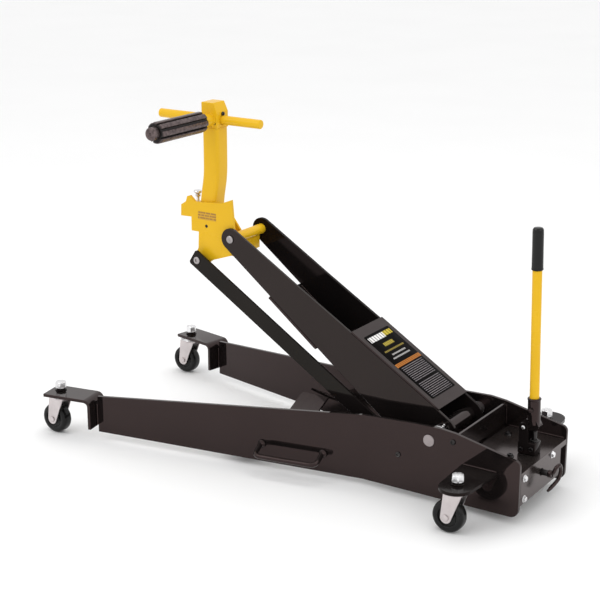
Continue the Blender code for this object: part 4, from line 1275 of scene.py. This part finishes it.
@dataclass
class Post:
    """Bent square post with its head block, set screw and T-bar."""

    body: str = "tilting_post"
    centre_y: float = -28.4 * MM
    half: float = 23 * MM
    corner: float = 10 * MM
    head_x: float = -276 * MM
    arbor_z: float = 803 * MM

    def tube(self) -> None:
        """Rounded-square section carried up a path that bends once, and the toe at its foot."""
        corners = [(-293, 516), (-287.4, 604), (-276.4, 664), (-276, 720), (-276, 782.6)]
        path = softened([(x * MM, self.centre_y, z * MM) for x, z in corners], 26 * MM, 10)
        section = softened(SQUARE * self.half, self.corner, 6, closed=True)
        post = Shape().add(swept(path, section, Y_AXIS))
        post.add(box_grid((-345 * MM, self.centre_y - 12 * MM, 555 * MM),
                          (-290 * MM, self.centre_y + 12 * MM, 565 * MM), 2 * MM))
        post.piece("tilt_post", self.body, YELLOW, "yellow_paint", "post_tube", sharp=50.0)

    def head(self) -> None:
        """Head block from the frame, with a set screw, a dark disc painted as the shade in a drilled hole,
        and the weld under it.
        """
        eased("head_block", self.body, YELLOW, 1.8 * MM, 3)
        screw = Shape()
        profile = rounded([(0, -1), (5.2, -1), (5.2, 3.2), (2.6, 3.8), (2.4, 1.2), (0, 1.2)], 0.4)
        screw.add(turned(profile, (self.head_x + self.half, self.centre_y, 817 * MM), X_AXIS, 28))
        # shallow dark steel disc: painted shade standing in for the inside of the drilled hole
        hole_shade_disc = rounded([(0, -0.6), (3.1, -0.6), (3.1, 0.25), (2.0, 0.1), (0, -0.3)], 0.1, 2)
        hole_centre = (self.head_x + 16.5 * MM, self.centre_y - self.half, 795 * MM)
        screw.add(turned(hole_shade_disc, hole_centre, (0, -1, 0), 24))
        screw.piece("head_set_screw", self.body, DARK, "dark_steel")
        weld = Shape()
        low = self.half + 0.2 * MM
        z = 783 * MM
        corners = [np.array([self.head_x + a * low, self.centre_y + b * low, z]) for a, b in SQUARE]
        for start, end in zip(corners, corners[1:] + corners[:1]):
            inset = (end - start) * 0.18
            weld.add(bead(start + inset, end - inset, 1.5 * MM))
        weld.piece("head_weld", self.body, YELLOW, "yellow_paint", sharp=60.0)

    def t_bar(self) -> None:
        """Round bar through the head block, with chamfered ends."""
        low, high = -442, -140
        profile = rounded([(0, low), (11, low), (11, high), (0, high)], 2.4, 5)
        Shape().add(turned(profile, (0, self.centre_y, 802 * MM), X_AXIS, 48)).piece(
            "turning_bar", self.body, YELLOW, "yellow_paint", "t_bar")

    def build(self) -> None:
        """Make the post."""
        self.tube()
        self.head()
        self.t_bar()
        LOG.info("post done")


@dataclass
class Arbor:
    """Splined arbor: wide teeth with rounded ends, a pilot nose and a shank."""

    body: str = "arbor"
    x: float = -276 * MM
    z: float = 803 * MM
    tip: float = 25.4 * MM
    root: float = 19.5 * MM
    teeth: int = 8
    start: float = -83.0 * MM
    end: float = -259 * MM

    def build(self) -> None:
        """Make the arbor.

        radius(angle) = root + (tip - root) * (1 - smooth step of the distance from the
        tooth's middle), and near each end the radius is held under a quarter circle.
        """
        steps = self.teeth * 28
        angle = np.arange(steps) * 2 * math.pi / steps
        phase = np.abs((angle * self.teeth / (2 * math.pi) + 0.5) % 1.0 - 0.5)
        t = np.clip((phase - 0.305) / 0.06, 0, 1)
        tooth = self.root + (self.tip - self.root) * (1 - t * t * (3 - 2 * t))
        round_off = 6.5 * MM
        bend = np.linspace(0, math.pi / 2, 9)
        depth = round_off * (1 - np.cos(bend))
        limit = self.root * 0.93 + (self.tip - self.root * 0.93) * np.sin(bend)
        y = np.concatenate([self.start - depth, self.end + depth[::-1]])
        cap = np.concatenate([limit, limit[::-1]])
        radius = np.minimum(tooth[None], cap[:, None])
        radius = np.vstack([np.zeros(steps), radius, np.zeros(steps)])
        y = np.concatenate([[self.start], y, [self.end]])
        grid = np.stack([self.x + radius * np.cos(angle), np.broadcast_to(y[:, None], radius.shape),
                         self.z + radius * np.sin(angle)], -1)
        arbor = Shape().add(grid)
        nose = rounded([(0, -254), (15.5, -254), (15.5, -272.8), (13.2, -276), (4.2, -276), (1.2, -272.5),
                        (0, -272.4)], 0.7, 4)
        arbor.add(turned(nose, (self.x, 0, self.z), Y_AXIS, 56))
        shank = rounded([(0, -90), (9.9, -90), (9.9, -46.6), (0, -46.6)], 0.8)
        arbor.add(turned(shank, (self.x, 0, self.z), Y_AXIS, 40))
        arbor.piece("spline_arbor", self.body, ARBOR, "dark_steel", "splined_arbor", sharp=40.0)
        LOG.info("arbor done")


# ---- hydraulics ---------------------------------------------------------------------
@dataclass
class Pump:
    """Pump block, lever with its handle, plunger and ram."""

    lever: Triple = (562 * MM, 0, 186 * MM)
    handle_x: float = 580 * MM
    plunger_x: float = 583 * MM
    lean: float = math.radians(-1.6)
    ram_z: float = 91 * MM

    @property
    def handle_axis(self) -> Triple:
        """Direction that the handle points in."""
        return (math.sin(self.lean), 0.0, math.cos(self.lean))

    def block(self) -> None:
        """Pump block with its reservoir cap nut, gland and relief plug."""
        eased("pump_body", "truck", SHADED_BLACK, 1.2 * MM, 3)
        trim = Shape()
        gland = rounded([(6.6, 0), (9.6, 0), (9.6, 3.6), (8.6, 4.8), (6.6, 4.8)], 0.5, closed=True)
        trim.add(turned(gland, (self.plunger_x, 0, 152 * MM), Z_AXIS, 36), loop=True)
        for x, side, z in ((584, -1, 138), (560, -1, 134), (584, 1, 138)):
            trim.add(hexagon(4.6 * MM, -0.4 * MM, 3.8 * MM, (x * MM, side * 17 * MM, z * MM), (0, side, 0)))
        trim.piece("pump_fittings", "truck", DARK, "dark_steel")

    def pins(self) -> None:
        """Lever pin with domed ends, and the plunger."""
        x, y, z = self.lever
        half = 19.5
        dome = rounded([(0, -half), (3.6, -half), (4.9, -half + 1.6), (4.9, half - 1.6), (3.6, half),
                        (0, half)], 0.6)
        Shape().add(turned(dome, (x, y, z), Y_AXIS, 32)).piece(
            "lever_pin", "truck", ZINC, "zinc_steel", "lever_pivot_pin")
        rod = rounded([(0, 148.2), (5.9, 148.2), (5.9, 176.6), (4.4, 177.8), (0, 177.8)], 0.6)
        Shape().add(turned(rod, (self.plunger_x, 0, 0), Z_AXIS, 40)).piece(
            "plunger_rod", "plunger", DARK, "zinc_steel", "pump_plunger")

    def handle(self) -> None:
        """Lever with its socket, the yellow tube and the dipped grip."""
        eased("handle_socket", "pump_lever", BLACK, 1.2 * MM, 3)
        axis = self.handle_axis
        base = (self.handle_x, 0, 200 * MM)
        lip = rounded([(11.5, 50), (14.4, 50), (15.6, 51.4), (15.6, 54.2), (14.2, 55.4), (11.5, 55.4)],
                      0.5, closed=True)
        ring = Shape().add(turned(lip, base, axis, 40), loop=True)
        screw_at = np.array(base) + 30 * MM * np.array(axis)
        ring.add(hexagon(4.6 * MM, 13 * MM, 20 * MM, screw_at, (0, -1, 0)))
        ring.piece("socket_lip", "pump_lever", BLACK, "black_paint")
        tube = rounded([(0, 8.8), (10.9, 8.8), (10.9, 349.8), (0, 349.8)], 1.0)
        Shape().add(turned(tube, base, axis, 48)).piece(
            "handle_tube", "handle", YELLOW, "yellow_paint", "pump_handle")
        grip = rounded([(0, 350.4), (13.0, 350.4), (13.6, 352.4), (12.9, 357), (12.7, 398), (12.6, 434),
                        (12.2, 441), (9.6, 445), (4, 445.8), (0, 445.9)], 1.6, 4)
        Shape().add(turned(grip, base, axis, 48)).piece(
            "dipped_grip", "handle", VINYL, "rubber_grip", "handle_grip")

    def ram(self) -> None:
        """Ram cylinder from the frame and its polished rod."""
        eased("ram_cylinder", "truck", BLACK, 1.4 * MM, 3)
        nose = 384 - 62 * math.sin(math.radians(6)) + 14
        rod = rounded([(0, nose), (4, nose), (8.9, nose + 4), (10.9, nose + 10), (10.9, 544.9), (0, 544.9)],
                      0.9)
        Shape().add(turned(rod, (0, 0, self.ram_z), X_AXIS, 40)).piece(
            "polished_ram", "ram", ZINC, "dark_steel", "ram_rod")

    def build(self) -> None:
        """Make the pump."""
        self.block()
        self.pins()
        self.handle()
        self.ram()
        LOG.info("pump done")


@dataclass
class ReleaseValve:
    """Release stem out of the end face, knuckle and bent lever."""

    body: str = "release_valve"
    y: float = -12 * MM
    z: float = 88 * MM

    def build(self) -> None:
        """Make the valve."""
        stem = rounded([(0, 597), (6.9, 597), (6.9, 625.8), (0, 625.8)], 0.8)
        Shape().add(turned(stem, (0, self.y, self.z), X_AXIS, 36)).piece(
            "valve_stem", self.body, DARK, "zinc_steel", "release_stem")
        path = rounded([(631, -12, 88), (638.5, -12, 91), (643, -11, 105), (646.3, 4, 109), (646.3, 13, 92),
                        (643, 8, 70), (636, -14, 57), (634, -28, 53)], 7, 6)
        section = disc(4.4 * MM, 20)
        size = np.interp(np.linspace(0, 1, len(path)), [0, 0.04, 0.96, 1.0], [0.9, 1.0, 1.0, 0.7])
        lever = Shape().add(swept(path, section, (0.7, -0.6, 0.4), size))
        hub = rounded([(0, 626.6), (8.9, 626.6), (8.9, 636.2), (0, 636.2)], 1.2)
        lever.add(turned(hub, (0, self.y, self.z), X_AXIS, 36))
        lever.piece("valve_lever", self.body, BLACK, "black_paint", "release_lever")
        LOG.info("release valve done")


# ---- studio --------------------------------------------------------------------------
@dataclass
class Studio:
    """Pale floor, soft lights, bright surround and the camera."""

    camera_place: Triple = (1.829, -2.8346, 1.4238)
    camera_turn: Triple = (72.88, 0.0, 33.52)
    lens: float = 87.8

    def floor(self) -> None:
        """Plain pale floor, a shallow dish that rises far behind the object."""
        rows, columns = 24, 48
        radius = np.linspace(0.0, 14.0, rows)[:, None]
        angle = np.linspace(0, 2 * math.pi, columns, endpoint=False)[None]
        height = -0.0006 + 0.25 * np.clip((radius - 9.0) / 5.0, 0, 1) ** 2
        height = np.broadcast_to(height, (rows, columns))
        grid = np.stack([radius * np.cos(angle), radius * np.sin(angle), height], -1)
        mesh = bpy.data.meshes.new("studio_floor")
        mesh.from_pydata(grid.reshape(-1, 3).tolist(), [], quad_faces(rows, columns).tolist())
        mesh.materials.append(FLOOR)
        mesh.shade_smooth()
        thing = bpy.data.objects.new("studio_floor", mesh)
        bpy.context.scene.collection.objects.link(thing)

    def light(self, name: str, place: Triple, turn: Triple, size: Pair, power: float) -> None:
        """Add a soft box.

        Args:
            name: its name.
            place: where it hangs, in metres.
            turn: its rotation in degrees.
            size: width and height in metres.
            power: its power in watts.
        """
        lamp = bpy.data.lights.new(name, "AREA")
        lamp.shape = "RECTANGLE"
        lamp.size, lamp.size_y = size
        lamp.energy = power
        thing = bpy.data.objects.new(name, lamp)
        thing.location = place
        thing.rotation_euler = [math.radians(value) for value in turn]
        bpy.context.scene.collection.objects.link(thing)

    def surround(self) -> None:
        """Even white surround."""
        world = bpy.data.worlds.new("studio_surround")
        world.use_nodes = True
        world.node_tree.nodes["Background"].inputs["Color"].default_value = (1.0, 1.0, 1.0, 1)
        world.node_tree.nodes["Background"].inputs["Strength"].default_value = 1.0
        bpy.context.scene.world = world
        bpy.context.scene.view_settings.view_transform = "Standard"

    def camera(self) -> None:
        """The scene's camera."""
        data = bpy.data.cameras.new("studio_camera")
        data.lens = self.lens
        data.sensor_width = 36.0
        data.clip_end = 60.0
        thing = bpy.data.objects.new("studio_camera", data)
        thing.location = self.camera_place
        thing.rotation_euler = [math.radians(value) for value in self.camera_turn]
        bpy.context.scene.collection.objects.link(thing)
        bpy.context.scene.camera = thing

    def build(self) -> None:
        """Set up the studio."""
        self.floor()
        self.light("key_box", (-1.6, -2.6, 3.2), (42, 0, -32), (2.2, 1.6), 26)
        self.light("fill_box", (3.0, -0.6, 2.2), (58, 0, 80), (1.8, 1.8), 10)
        self.light("top_box", (0.0, 0.6, 3.4), (0, 0, 0), (2.6, 2.0), 14)
        self.surround()
        self.camera()
        LOG.info("studio done")


def main() -> None:
    """Build the jack from the floor up and report each part."""
    logging.basicConfig(level=logging.INFO, format="%(name)s: %(message)s")
    Studio().build()
    Truck().build()
    for end, x, y in (("rear", 511 * MM, 229 * MM), ("front", -596 * MM, 270 * MM)):
        for side in Side:
            Caster(end, side, x, side.value * y).build()
    LiftArm().build()
    LowerLinks().build()
    LoadBracket().build()
    Post().build()
    Arbor().build()
    Pump().build()
    ReleaseValve().build()


if __name__ == "__main__":
    main()
